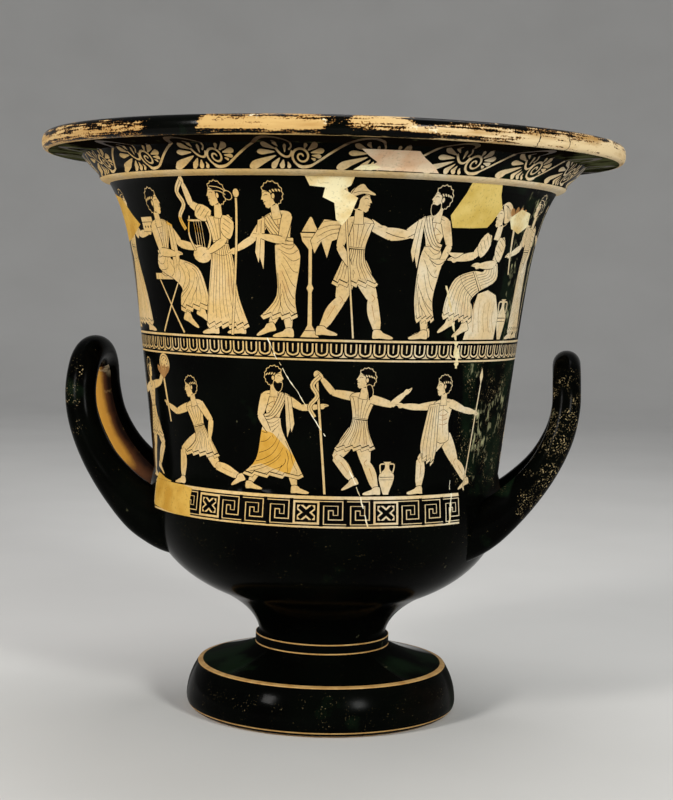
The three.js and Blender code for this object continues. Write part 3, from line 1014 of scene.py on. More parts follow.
def drawFigure(spec):
    art = []
    rng = random.Random(spec["seed"])
    u = spec["tall"] / lengths["figure"]
    pose, wear = poses[spec["pose"]], spec["wear"]
    made = wears[wear]
    up = turnBy(90 - pose["lean"])
    fore = up * -1j
    thighs = [swing(angle, lengths["thigh"] * u) for angle in pose["thighs"]]
    shins = [swing(angle, lengths["shin"] * u) for angle in pose["shins"]]
    reach = max(-(thigh + shin).imag for thigh, shin in zip(thighs, shins))
    hip = complex(0, spec["seat"] * u if "seat" in spec else reach + 0.27 * u)

    def body(base, *pairs):
        # forward and up from a joint, in head lengths
        return [base + fore * x * u + up * y * u for x, y in pairs]

    neck, = body(hip, (0, lengths["trunk"]))
    near, far = body(neck, (-0.525, -0.30), (0.525, -0.28))
    hips = body(hip, (0.16, 0), (-0.16, 0))
    knees = [start + thigh for start, thigh in zip(hips, thighs)]
    ankles = [knee + shin for knee, shin in zip(knees, shins)]

    def arm(shoulder, upper, lower):
        elbow = shoulder + swing(upper, lengths["upperArm"] * u)
        wrist = elbow + swing(lower, lengths["forearm"] * u)
        limb(art, shoulder, elbow, "upperArm", u)
        limb(art, elbow, wrist, "forearm", u)
        drawHand(art, wrist, unit(wrist - elbow), u)
        if wear == "chiton":
            drawSleeve(art, shoulder, elbow - shoulder, u)
        return wrist

    def leg(hip, knee, ankle):
        high = ankle.imag / u
        lift = min(60, 18 * (high - 0.2) + 12) if high > 0.45 else 0
        if made["long"]:
            limb(art, knee + (ankle - knee) * 0.45, ankle, "ankle", u)
            drawFoot(art, ankle, u, lift)
            return
        limb(art, hip, knee, "thigh", u)
        limb(art, knee, ankle, "shin", u, -0.05 * u)
        drawFoot(art, ankle, u, lift)
        wash(art, spots(knee, u, (-0.05, 0.20), (0.10, 0.02), (-0.02, -0.16)))
        wash(art, [knee + (ankle - knee) * 0.18 - 0.08 * u, knee + (ankle - knee) * 0.62 - 0.04 * u])

    def trunk():
        if wear not in ("chiton", "wrap"):
            left = body(hip, (-0.40, -0.2), (-0.36, 0.75), (-0.595, 1.5)) + body(near, (-0.20, 0), (0, 0.22))
            right = body(far, (0, 0.20), (0.18, 0)) + body(hip, (0.595, 1.5), (0.36, 0.75), (0.40, -0.2))
            solid(art, loop(left + body(neck, (0, 0.02)) + right))
        if wear in ("cloak", "loin", "mantle"):
            stroke(art, body(near, (0.15, -0.55)) + body(hip, (0, 1.62)) + body(far, (-0.05, -0.5)))
            wash(art, body(neck, (0, -0.35)) + body(hip, (0.05, 1.1), (0, 0.2)))
            for k in range(3):
                wash(art, body(hip, (-0.30, 1.35 - 0.27 * k), (0, 1.28 - 0.27 * k),
                               (0.30, 1.35 - 0.27 * k)))
            stroke(art, body(neck, (-0.06, -0.12)) + body(near, (0, 0.05)))

    def lap():
        # the edges of a seated figure's cloth, over the knees
        knee, ankle = max(knees, key=lambda p: p.real), ankles[0]
        underKnee, rear = min(knees, key=lambda p: p.real), min(ankles, key=lambda p: p.real)
        back = (spots(hip, u, (-0.52, 0.80), (-0.62, 0.05), (0.55, -0.48))
                + spots(underKnee, u, (-0.55, -0.45)) + spots(rear, u, (-0.35, 0.9), (-0.42, 0.25)))
        front = (spots(hip, u, (0.38, 0.85), (0.45, 0.42), (1.15, 0.42)) + spots(knee, u, (0.22, 0.24))
                 + spots(ankle, u, (0.42, 1.0), (0.50, 0.22)))
        return back, front

    def drape():
        # the edges of a standing figure's cloth, down to the hem or cut short above the knee
        back = body(near, (-0.24, 0)) + body(hip, (-0.58, 1.45), (-0.44, 0.7), (-0.66, -0.05))
        front = body(far, (0.22, 0)) + body(hip, (0.60, 1.5), (0.42, 0.7), (0.58, -0.05))
        if made["long"]:
            kneeLine, low = sum(p.imag for p in knees) / 2, made["hem"] * u
            back += [complex(min(p.real for p in knees) - 0.42 * u, kneeLine),
                     complex(min(p.real for p in ankles) - 0.42 * u, low)]
            front += [complex(max(p.real for p in knees) + 0.36 * u, kneeLine),
                      complex(max(p.real for p in ankles) + 0.50 * u, low)]
        else:
            cut = hip.imag - 0.95 * u
            reach = [hip.real] + [(start + thigh * 0.5).real for start, thigh in zip(hips, thighs)]
            back.append(complex(min(reach) - 0.68 * u, cut))
            front.append(complex(max(reach) + 0.62 * u, cut))
        first = 2 if made["top"] == "waist" else 0
        return back[first:], front[first:]

    def folds(back, front):
        def crease(start, end, *more, **also):
            fold(art, back, front, start, end, *more, **also)

        if "belt" not in made:
            for k in range(8):
                t = k / 7
                crease((0.12 + 0.82 * t, 0.03), (0.05 + 0.55 * t, 0.62 + 0.3 * rng.random()),
                       0.10 * (1 - t))
            for k in range(4):
                crease((0.45 + 0.1 * k, 0.95 - 0.1 * k), (0.93, 0.9 - 0.18 * k), ripple=0.02)
            return
        belt = made["belt"]
        for k in range(9):
            t = (k + 0.5) / 9
            start = (belt + 0.02 * rng.random(), t)
            crease(start, (0.95 - 0.05 * rng.random(), t + 0.04 * rng.uniform(-1, 1)), ripple=0.012)
        for k in range(5):
            t = (k + 0.5) / 5
            crease((0.02, t), (belt - 0.03, 0.5 + (t - 0.5) * 0.7))
        crease((belt, 0.0), (belt, 1.0), width=0.9)
        crease((belt - 0.025, 0.0), (belt - 0.025, 1.0))
        if wear == "chiton":
            crease((belt + 0.14, 0.0), (belt + 0.14, 1.0), 0.03)

    def overCloth():
        if wear == "mantle":
            roll = smooth(body(far, (0, 0.15)) + body(hip, (0.28, 1.45), (-0.1, 0.85), (-0.50, 0.70)))
            solid(art, ribbon(roll, 0.42 * u, 0.30 * u))
            for shift in (-0.08, 0.07):
                art.append(("line", ribbon([p + shift * u for p in roll], brush["relief"])))
            hang, = body(far, (0.1, 0))
            solid(art, spots(hang, u, (0, 0.15), (0.34, 0.0), (0.52, -1.5), (0.36, -2.0), (0.30, -1.7),
                             (0.12, -2.3), (0.06, -1.5)))
            stroke(art, spots(hang, u, (0.16, 0), (0.30, -1.7)))
        if wear == "wrap":
            stroke(art, body(near, (0, 0.1)) + body(neck, (0.1, -0.35)) + body(far, (0, 0.05)), "line", 0.8)
        if wear == "cloak":
            root, = body(far, (0.05, 0))
            back = spots(root, u, (-0.25, 0.1), (-0.30, -1.3), (-0.35, -2.5), (-0.25, -3.3))
            front = spots(root, u, (0.42, 0), (0.62, -1.2), (0.75, -2.3), (0.60, -2.9))
            edges = cloth(art, back, front, 3, 0.3 * u, 0.18 * u)
            for k in range(4):
                fold(art, *edges, (0.03, 0.2 + 0.2 * k), (0.93, 0.14 + 0.24 * k))

    if "seatKind" in spec:
        drawSeat(art, spec["seatKind"], hip, u)
    if spec.get("flying"):
        solid(art, spots(near, u, (0, 0), (-1.1, 0.1), (-1.7, -0.9), (-1.5, -1.5), (-1.2, -0.9),
                         (-0.9, -1.7), (-0.7, -0.9), (-0.2, -0.7)))
        for k in range(4):
            stroke(art, spots(near, u, (-0.1, -0.15 * k), (-0.8, 0.05 - 0.22 * k), (-1.4, -0.1 - 0.3 * k)))
    hands = {"far": arm(far, *pose["far"])}
    for k in (1, 0):
        leg(hips[k], knees[k], ankles[k])
    trunk()
    if wear != "cloak":
        folds(*cloth(art, *(lap() if "seat" in spec else drape()), made["dips"], 0.16 * u, 0.20 * u))
    overCloth()
    drawHead(art, neck, up, u * 1.12, spec["hair"])
    if wear != "wrap":
        hands["near"] = arm(near, *pose["near"])
    if "tool" in spec:
        held = hands.get(spec["hand"], hands["far"])
        tools[spec["tool"]](art, held, u)
    return art


# patterns that run round the pot

meander = {"start": -62.5, "end": 53.4, "pitch": 8.0, "centre": 2.4, "line": 2.95, "border": 1.15, "gap": 3,
           "spiral": ((-0.44, 0), (-0.44, 0.885), (0.26, 0.885), (0.26, 0.315), (-0.08, 0.315),
                      (-0.08, 0.50)),
           "hook": ((0.44, 1), (0.44, 0.115), (-0.26, 0.115), (-0.26, 0.70), (0.09, 0.70), (0.09, 0.50))}
saltire = {"black": (0.41, 0.41), "clay": (0.33, 0.31), "arm": (0.26, 0.245), "armWidth": 1.08,
           "notch": (0.34, 0.32), "notchTip": 0.62, "notchHalf": 0.8}
eggs = {"count": 90, "below": 1.3, "above": 1.6,
        # paint, reach, low end
        "rings": (("line", 1.04, -0.02), ("clay", 0.86, 0.085), ("line", 0.64, 0.185)),
        "slit": (0.97, 0.38), "slitWidths": (0.11, 0.07)}
palmettes = {
    "count": 19, "turn": 1.35,     # units round the neck, degrees that the row is turned
    "rise": 1.26, "neck": 19.1,    # the neck slopes, so its drawing is stretched up to this height
    "spread": 5.2,                 # and more so under the lip
    "fadeFrom": 24.0, "radius": 204,
    "coilTurn": 630, "coil": 9.1j,
    "stem": (6.6 + 2.2j, 13.5 + 6.4j, 21 + 11.6j, 29.5 + 17.0j, 37 + 20.6j, 44 + 22.8j, 51.5 + 22.8j,
             58 + 20.6j, 60.6 + 17.0j, 58.4 + 14.0j),
    "heart": (-18.6 + 15.4j, -15.6 + 11.0j, -12.0 + 8.8j, -8.6 + 9.6j, -6.6 + 13.4j),
    "petals": (  # root, tip, width
        (-18.6 + 9.8j, -41.6 + 1.0j, 5.4), (-16.4 + 8.0j, -23.6 + 0.5j, 4.0),
        (-13.9 + 6.6j, -16.2 + 0.4j, 3.8), (-10.8 + 5.0j, -9.9 + 0.4j, 2.8),
        (-19.2 + 12.4j, -33.0 + 12.4j, 3.9), (-18.4 + 14.6j, -29.0 + 18.6j, 3.5),
        (-16.6 + 16.2j, -20.2 + 20.2j, 2.6), (2.4 + 14.4j, 4.0 + 18.8j, 2.5),
        (4.9 + 13.6j, 11.8 + 18.9j, 4.2), (6.8 + 12.0j, 16.8 + 14.0j, 3.8),
        (7.4 + 10.0j, 14.6 + 9.2j, 3.0), (7.0 + 7.9j, 10.2 + 6.4j, 2.2),
        (-12.2 + 12.0j, -11.6 + 18.2j, 2.2)),
}


def eggUnit(wide, high):
    # one tongue hanging in its loop, the slit shows the clay
    art = []
    for paint, share, lowShare in eggs["rings"]:
        reach, low = wide / 2 * share, high * lowShare
        side = [complex(reach * part, height) for part, height in (
            (1, high), (0.98, high * 0.42), (0.72, low + high * 0.10))]
        left = [-p.conjugate() for p in side]
        art.append((paint, smooth(left + [complex(0, low)] + side[::-1], 3)))
    top, foot = (complex(0, high * share) for share in eggs["slit"])
    art.append(("clay", ribbon([top, foot], *(wide * share for share in eggs["slitWidths"]))))
    return art


def meanderKey(wide, high):
    # two square spirals hooked into each other
    art = []
    for corners in (meander["spiral"], meander["hook"]):
        points = [complex(wide * x, high * y) for x, y in corners]
        for a, b in zip(points, points[1:]):
            way = unit(b - a) * meander["line"] / 2
            art.append(("line", ribbon([a - way, b + way], meander["line"])))
    return art


def saltireSquare(wide, high):
    # a black cross inside a clay square, with a black notch in the middle of each side
    art = []
    middle = complex(0, high / 2)

    def corner(name, mirror=1):
        across, tall = saltire[name]
        return complex(wide * across, mirror * high * tall)

    for paint, name in (("line", "black"), ("clay", "clay")):
        a, b = corner(name), corner(name, -1)
        art.append((paint, [middle + a, middle - b, middle - a, middle + b]))
    for mirror in (1, -1):
        arm = corner("arm", mirror)
        art.append(("line", ribbon([middle - arm, middle + arm], meander["line"] * saltire["armWidth"])))
    notch = corner("notch")
    for way in (1, 1j, -1, -1j):
        reach = way * (notch.real if way.real else notch.imag)
        side = way * 1j * meander["line"] * saltire["notchHalf"]
        art.append(("line", [middle + reach * saltire["notchTip"], middle + reach + side,
                             middle + reach - side]))
    return art


def palmetteUnit():
    # a coil with its running stem, a fan of petals on each side, heights as they look from the front
    rise, neck, turned = (palmettes[word] for word in ("rise", "neck", "coilTurn"))
    coil = [palmettes["coil"] + turnBy(k - turned - 90, 0.9 + 6.9 * k / turned)
            for k in range(0, turned + 1, 18)]
    outlines = [ribbon(coil, 1.15, 1.8), ribbon(smooth([coil[-1], *palmettes["stem"]]), 1.8, 1.2),
                ribbon(smooth(palmettes["heart"]), 1.7, 1.5)]
    outlines += [petal(*row) for row in palmettes["petals"]]

    def stretched(height):
        return height * rise if height < neck else neck * rise + (height - neck) * palmettes["spread"]

    return [("clay", [complex(p.real, stretched(p.imag)) for p in outline]) for outline in outlines]


def handlePalmette():
    art = []
    heart = 30j
    for k in range(-4, 5):
        way = turnBy(90 + 24 * k)
        art.append(("clay", petal(heart + way * 5, heart + way * (27 - 1.5 * abs(k)), 6.4)))
    art.append(("clay", oval(heart, 3.4, 3.4)))
    for side, start in ((1, 0), (-1, 180)):
        coil = [complex(side * 16, 12) + turnBy(k * side + start, 1.5 + 0.02 * k)
                for k in range(0, 420, 30)]
        art.append(("clay", ribbon(coil, 1.2, 2.2)))
    return art


# putting the painting on the pot: cut into triangles by azimuth in degrees and height, then wrapped

cutting = {"margin": 0.04, "sideLimit": 179.98, "longest": 7.5, "shortest": 0.004, "inset": 0.9999,
           "together": 1e-4}
ringStep = 360 / pot["steps"]


def straightBand(low, high):
    def place(height):
        return bowlSide(height), height
    rows = max(1, round((high - low) / 6.5))
    heights = [low + (high - low) * k / rows for k in range(1, rows)]
    return dict(low=low, high=high, place=place, rows=heights, sideRows=rows, shapes=[])


def outlineBand(points):
    ends = [0.0]
    for a, b in zip(points, points[1:]):
        ends.append(ends[-1] + math.dist(a, b))

    def place(along):
        k = min(max(np.searchsorted(ends, along) - 1, 0), len(points) - 2)
        t = (along - ends[k]) / (ends[k + 1] - ends[k])
        return tuple(a + (b - a) * t for a, b in zip(points[k], points[k + 1]))
    return dict(low=0.0, high=ends[-1], place=place, rows=[round(end, 4) for end in ends[1:-1]],
                sideRows=max(1, round(ends[-1] / 3.2)), shapes=[])


def lay(band, art, azimuth, base, face=1, scale=1.0, radius=None):
    for paint, outline in art:
        points = []
        for p in outline:
            height = base + p.imag * scale
            around = radius or band["place"](min(max(height, band["low"]), band["high"]))[0]
            points.append((azimuth + math.degrees(p.real * face * scale / around), height))
        band["shapes"].append((paint, points))


def layRect(band, paint, low, high, start=-180, end=180):
    count = max(2, int((end - start) / 3))
    lower = [(start + (end - start) * k / count, low) for k in range(count + 1)]
    band["shapes"].append((paint, lower + [(azimuth, high) for azimuth, _ in lower[::-1]]))


def clip(points, axis, limit, sign):
    # keeps what lies below the limit, or above it where the sign is -1
    result = []
    for k, b in enumerate(points):
        a = points[k - 1]
        da, db = sign * (limit - a[axis]), sign * (limit - b[axis])
        if (da >= 0) != (db >= 0):
            t = da / (da - db)
            result.append(tuple(a[i] + (b[i] - a[i]) * t for i in (0, 1)))
        if db >= 0:
            result.append(b)
    return result


def trim(outline, low, high, perDegree):
    # the part of an outline inside its band, its sides cut short enough to follow the curve
    side = cutting["sideLimit"]
    for axis, limit, sign in ((1, low + cutting["margin"], -1), (1, high - cutting["margin"], 1),
                              (0, -side, -1), (0, side, 1)):
        outline = clip(outline, axis, limit, sign)
    path = []
    for k, b in enumerate(outline):
        a = outline[k - 1]
        span = math.hypot((b[0] - a[0]) * perDegree, b[1] - a[1])
        if span >= cutting["shortest"]:
            pieces = max(1, math.ceil(span / cutting["longest"]))
            path += [tuple(p + (q - p) * i / pieces for p, q in zip(a, b)) for i in range(1, pieces + 1)]
    return path


def covered(x, y, outline):
    wind = np.zeros(len(x), dtype=int)
    for k, (x1, y1) in enumerate(outline):
        x0, y0 = outline[k - 1]
        side = (x1 - x0) * (y - y0) - (x - x0) * (y1 - y0)
        wind += (y0 <= y) & (y1 > y) & (side > 0)
        wind -= (y1 <= y) & (y0 > y) & (side < 0)
    return wind != 0


def cutBand(band, perDegree):
    # the unrolled band cut along every painted outline, in flat triangles
    low, high, rows, steps = band["low"], band["high"], band["sideRows"], pot["steps"]
    points, edges, kept = [], [], []

    def addLoop(path):
        first, count = len(points), len(path)
        points.extend(Vector((azimuth * perDegree, height)) for azimuth, height in path)
        edges.extend((first + k, first + (k + 1) % count) for k in range(count))

    addLoop([(-180 + ringStep * k, low) for k in range(steps)]
            + [(180, low + (high - low) * k / rows) for k in range(rows)]
            + [(180 - ringStep * k, high) for k in range(steps)]
            + [(-180, high - (high - low) * k / rows) for k in range(rows)])
    for row, height in enumerate(band["rows"]):
        shift = ringStep * 0.5 if row % 2 else 0
        points.extend(Vector(((-180 + ringStep * k + shift) * perDegree * cutting["inset"], height))
                      for k in range(1, steps))
    for paint, outline in band["shapes"]:
        path = trim(outline, low, high, perDegree)
        if len(path) > 2:
            addLoop(path)
            kept.append((paint, [(azimuth * perDegree, height) for azimuth, height in path]))
    flat, _, faces, *_ = delaunay_2d_cdt(points, edges, [], 0, cutting["together"])
    corners = np.array([face for face in faces if len(face) == 3])
    return np.array([(p.x, p.y) for p in flat]), corners, kept


def paintBand(shape, band, paints):
    low, high = band["low"], band["high"]
    perDegree = math.radians(1) * band["place"]((low + high) / 2)[0]
    flat, corners, kept = cutBand(band, perDegree)
    centres = flat[corners].mean(axis=1)
    order = np.argsort(centres[:, 0])
    corners, centres = corners[order], centres[order]
    colour = np.full(len(corners), paints["gloss"])
    for paint, outline in kept:
        xs = [x for x, _ in outline]
        first, last = np.searchsorted(centres[:, 0], (min(xs), max(xs)))
        inside = covered(centres[first:last, 0], centres[first:last, 1], outline)
        if paint == "goldTint":
            inside &= colour[first:last] == paints["clay"]
        colour[first:last][inside] = paints[paint]
    # under the lip the clay is swapped for painted shade and the gloss for a matt dark finish
    beyond = centres[:, 1] > band.get("fadeFrom", high)
    for fresh, faded in (("clay", "faded"), ("gloss", "dull")):
        colour[beyond & (colour == paints[fresh])] = paints[faded]
    verts = []
    for x, height in flat:
        azimuth = math.radians(x / perDegree)
        r, z = band["place"](float(height))
        verts.append(shape.verts.new(Vector((r * math.sin(azimuth), -r * math.cos(azimuth), z)) * metre))
    paintedLayer = shape.faces.layers.int["painted"]
    for face, paint in zip(corners, colour):
        made = shape.faces.new([verts[k] for k in face])
        made.material_index = int(paint)
        made.smooth = True
        made[paintedLayer] = 1
    print("painted band", round(low), "to", round(high), "with", len(corners), "triangles")
    return [vert for vert, (x, height) in zip(verts, flat)
            if height < low + 1e-3 or height > high - 1e-3 or abs(x) > 180 * perDegree - 1e-2]


def layMeander(band):
    h = bandHeights
    low, high = h["meanderLine"] + meander["border"], h["meanderTop"] - meander["border"]
    pitch, centre = meander["pitch"], meander["centre"]
    first = math.ceil((meander["start"] + pitch / 2 - centre) / pitch)
    last = round((meander["end"] - pitch / 2 - centre) / pitch)
    wide = math.radians(pitch) * bowlSide(low)
    for side in (0, 180, -180):
        start, end = side + meander["start"], side + meander["end"]
        layRect(band, "clay", band["low"] - 1, h["meanderLine"], start, end)
        layRect(band, "clay", h["meanderTop"], band["high"] + 1, start, end)
        layRect(band, "clay", low, high, start, end)
        for k in range(first, last + 1):
            art = saltireSquare(wide, high - low) if k % 7 in (0, 3) else meanderKey(wide, high - low)
            lay(band, art, side + centre + pitch * k, low)
        layRect(band, "gloss", band["low"] - 1, band["high"] + 1, end, end + meander["gap"])


def layEggs(band):
    h = bandHeights
    low, high = h["eggLow"] + eggs["below"], h["eggHigh"] - eggs["above"]
    layRect(band, "clay", h["eggHigh"], band["high"] + 1)
    layRect(band, "clay", band["low"] - 1, h["eggLow"])
    layRect(band, "clay", low, high)
    art = eggUnit(math.tau * bowlSide(low) / eggs["count"], high - low)
    for k in range(eggs["count"]):
        lay(band, art, -180 + 360 * (k + 0.5) / eggs["count"], low)


def layPalmettes(band):
    art = palmetteUnit()
    for k in range(-1, palmettes["count"] + 2):
        azimuth = palmettes["turn"] - 180 + 360 * (k + 0.5) / palmettes["count"]
        lay(band, art, azimuth, 0, radius=palmettes["radius"])
    # above this height the neck's painting is in painted shade under the lip
    band["fadeFrom"] = palmettes["fadeFrom"]


# the two friezes

friezes = {  # figure height, and how far the ground line lifts them
    "upper": 113, "lower": 98, "ground": 1.3,
    "stand": 2.6, "jar": 65.8, "lowerJar": 26.5, "lowerJarScale": 0.8,
    "handlePalmettes": (-94, 94), "palmetteLift": 14, "palmetteScale": 0.75,
}
figureWords = ("at", "face", "pose", "wear", "hair", "seed", "tool", "hand", "more")
upperFigures = [  # what figureWords says, then what is rare
    (-85, 1, "rest", "wrap", "short", 3, "staff", "near"),
    (-64, 1, "walk", "chiton", "bun", 4, "box", "far"),
    (-43, 1, "sit", "mantle", "wreath", 5, "lyre", "far", dict(seat=2.85, seatKind="stool", tall=124)),
    (-22, -1, "raise", "chiton", "bun", 6, "sash", "far"),
    (-3.5, -1, "lean", "mantle", "short", 18, "staff", "far"),
    (14, 1, "walk", "tunic", "cap", 7, "spear", "near", dict(flying=True)),
    (34.5, -1, "rest", "mantle", "beard", 8, "bowl", "near"),
    (56, -1, "sit", "chiton", "veil", 9, "bowl", "far", dict(seat=2.7, seatKind="rock", tall=122)),
    (76, -1, "stand", "chiton", "bun", 10, "torch", "far"),
    (98, -1, "rest", "wrap", "beard", 11, "staff", "near"),
    (128, 1, "stand", "wrap", "short", 12),
    (152, -1, "stand", "wrap", "short", 13, "staff", "near"),
    (176, 1, "stand", "wrap", "bun", 14),
    (-160, -1, "stand", "wrap", "short", 15, "staff", "near"),
    (-134, 1, "stand", "wrap", "short", 16),
    (-110, -1, "stand", "wrap", "bun", 17),
]
lowerFigures = [
    (-61, 1, "dance", "loin", "short", 21, "drum", "far"),
    (-33, -1, "run", "tunic", "wreath", 22, "torch", "far"),
    (-8, 1, "walk", "mantle", "beard", 23, "staff", "far"),
    (17, -1, "dance", "tunic", "long", 24, "sash", "far"),
    (45, -1, "stride", "cloak", "short", 25, "spear", "near"),
    (130, 1, "stand", "wrap", "short", 26, "staff", "near"),
    (163, -1, "stand", "wrap", "short", 27),
    (-162, 1, "stand", "wrap", "bun", 28),
    (-130, -1, "stand", "wrap", "short", 29, "staff", "near"),
]


def drawStand():
    # a tall incense stand
    art = []
    half = [7 + 0j, 4.4 + 4j, 1.6 + 9j, 1.3 + 34j, 2.6 + 37j, 1.2 + 40j, 1.2 + 66j, 6.0 + 72j, 7.4 + 78j]
    solid(art, [-7 + 0j] + half + [-p.conjugate() for p in half[:0:-1]])
    solid(art, smooth([-6.4 + 79j, -3 + 85j, 0.6 + 90j, 3.6 + 84j, 6.4 + 79j]))
    stroke(art, [-5.6 + 75j, 5.6 + 75j], "line", 0.6)
    stroke(art, [-4.0 + 5j, 4.0 + 5j], "line", 0.6)
    return art


def drawJar():
    # a jar with two handles standing on the ground
    art = []
    half = smooth([2.6 + 0j, 3.2 + 1.6j, 7.4 + 14j, 7.0 + 20j, 2.6 + 25j, 2.4 + 30j, 4.2 + 32j])
    solid(art, half + [-p.conjugate() for p in half[::-1]])
    for side in (1, -1):
        solid(art, ribbon(smooth([complex(2.6 * side, 30), complex(7.2 * side, 29),
                                  complex(6.2 * side, 21)]), 1.3))
    stroke(art, [-6.8 + 17j, 6.8 + 17j], "line", 0.7)
    stroke(art, [-7.0 + 14.4j, 7.0 + 14.4j], "line", 0.5)
    return art


def layFriezes(lower, upper):
    ground = friezes["ground"]
    lay(upper, drawStand(), friezes["stand"], upper["low"] + ground)
    lay(upper, drawJar(), friezes["jar"], upper["low"] + ground)
    lay(lower, drawJar(), friezes["lowerJar"], lower["low"] + ground, scale=friezes["lowerJarScale"])
    for band, figures, tall in ((upper, upperFigures, friezes["upper"]),
                                (lower, lowerFigures, friezes["lower"])):
        for row in figures:
            spec = dict(zip(figureWords, row))
            art = drawFigure({"tall": tall, **spec, **spec.get("more", {})})
            turns = (0, 360 if spec["at"] < 0 else -360) if abs(spec["at"]) > 140 else (0,)
            for turn in turns:
                lay(band, art, spec["at"] + turn, band["low"] + ground, spec["face"])
    for azimuth in friezes["handlePalmettes"]:
        lay(lower, handlePalmette(), azimuth, lower["low"] + friezes["palmetteLift"],
            scale=friezes["palmetteScale"])


# plaster repairs and cracks

repairs = {  # azimuth in degrees and height of each corner
    "pattern": [("gold", [(-61.6, 176.6), (-37.4, 173), (-38.2, 187), (-37.6, 197), (-45, 199.4),
                          (-62, 199.4)])],
    "lower": [("gold", [(-62, 198), (-50, 198), (-50, 199.4), (-56, 200.6), (-60, 202.6), (-62.5, 203.4)]),
              ("goldTint", [(-27, 228), (-18, 253), (-8, 246), (-1, 227), (-3, 214), (-12, 222),
                            (-20, 216)])],
    "upper": [
        ("sand", [(42.3, 441), (51.8, 441), (53.2, 432), (55.4, 423), (53.0, 412), (51.5, 407.5),
                  (46, 406.4), (39.9, 406), (38.6, 415), (40.3, 424), (41.6, 432)]),
        ("cream", [(1.4, 441), (13.0, 441), (12.2, 434), (10.6, 431), (14.0, 425), (12.4, 412),
                   (10.4, 404.5), (8.9, 409), (8.4, 421), (5.6, 425), (6.2, 432), (2.6, 433)]),
        ("cream", [(60, 416), (64.5, 423.5), (70.4, 421), (71.6, 411), (66.5, 404.5), (62, 408)]),
        ("gold", [(-77, 433), (-64.6, 427), (-58.6, 413), (-54.2, 405), (-58, 400.4), (-63, 395),
                  (-77, 391)]),
        ("goldTint", [(-42, 416), (-30, 406), (-26.6, 398), (-33, 398), (-40, 404)]),
    ],
    "neck": [("pink", [(13.8, 1.0), (31.5, 0.6), (30.2, 6), (27.2, 14), (25.6, 20), (13.6, 20), (15.2, 14),
                       (17.2, 8), (15.8, 4)]),
             ("cream", [(12.2, 0.6), (16.2, 0.6), (18.2, 3.0), (16.6, 6.2), (14.0, 4.4)])],
}
cracks = {  # places at the crack's ends, half width in degrees, share of it that is broken away, filler
    "lower": [((-6.4, 303), (7.4, 245), 0.16, 0.25, "chalk"),
              ((13.6, 226), (18.4, 199), 0.20, 0.15, "chalk"),
              ((47.2, 303), (47.5, 298), 0.95, 0.0, "cream"),
              ((50.0, 214), (50.4, 199), 0.16, 0.2, "chalk")],
    "pattern": [((18.4, 199), (20.6, 175), 0.2, 0.2, "chalk"),
                ((50.0, 199), (48.8, 174), 0.36, 0.1, "chalk")],
    "eggs": [((46.0, 320), (47.2, 303), 0.9, 0.0, "cream"),
             ((-9.4, 320), (-6.4, 303), 0.18, 0.2, "chalk")],
    "upper": [((40.4, 362), (46.0, 320), 0.34, 0.08, "cream")],
}


def crack(start, end, width, gaps, rng):
    # a ragged line of filler between two places, broken here and there
    (x0, y0), (x1, y1) = start, end
    count = max(3, int(abs(y1 - y0) / 2.2))
    drift, path = 0.0, []
    for k in range(count + 1):
        t = k / count
        drift = (drift + rng.uniform(-0.16, 0.16)) * 0.86
        path.append((x0 + (x1 - x0) * t + drift, y0 + (y1 - y0) * t, width * rng.uniform(0.25, 1.35)))
    dashes = [[]]
    for spot in path:
        dashes[-1].append(spot)
        if rng.random() < gaps:
            dashes.append([])
    return [[(x - w, y) for x, y, w in run] + [(x + w, y) for x, y, w in run[::-1]]
            for run in dashes if len(run) > 1]


def layRepairs(bands):
    rng = random.Random(7)
    for name, patches in repairs.items():
        bands[name]["shapes"].extend(patches)
    for name, lines in cracks.items():
        for *route, filler in lines:
            bands[name]["shapes"].extend((filler, outline) for outline in crack(*route, rng))


def paintWall(shape, paints):
    # every painted band, and the vertices along their edges
    h = bandHeights
    bands = {
        "pattern": straightBand(h["meanderLow"], h["lowerFloor"]),
        "lower": straightBand(h["lowerFloor"], h["lowerTop"]),
        "eggs": straightBand(h["lowerTop"], h["upperFloor"]),
        "upper": straightBand(h["upperFloor"], h["upperTop"]),
        "neck": outlineBand(neckOutline()),
    }
    layMeander(bands["pattern"])
    layEggs(bands["eggs"])
    layFriezes(bands["lower"], bands["upper"])
    layPalmettes(bands["neck"])
    layRepairs(bands)
    return [vert for band in bands.values() for vert in paintBand(shape, band, paints)]


handles = {
    "sides": ((1, 201, 0.94), (-1, 205.5, 1.05)),  # side, reach, girth
    "ringSides": 28, "pathSteps": 6,
    "route": (  # inside the reach, across, height, half depth, half width
        (107, 46, 141, 10, 9), (88, 53, 150, 17.5, 14), (65, 57, 167, 20, 16), (41, 54, 187, 16.5, 16),
        (19.5, 49, 212, 13.5, 14), (5.5, 44, 239, 12.5, 13), (0, 40, 264, 12.3, 12.3),
        (0, 31, 287, 12.3, 12.3), (0.5, 13, 298.1, 12.3, 12.3)),
    "reservedHalf": 33,   # degrees of the section left in clay, towards the other limb
    "reservedTop": 296,
    "tuck": 4.5,          # how far the roots sink into the wall
}


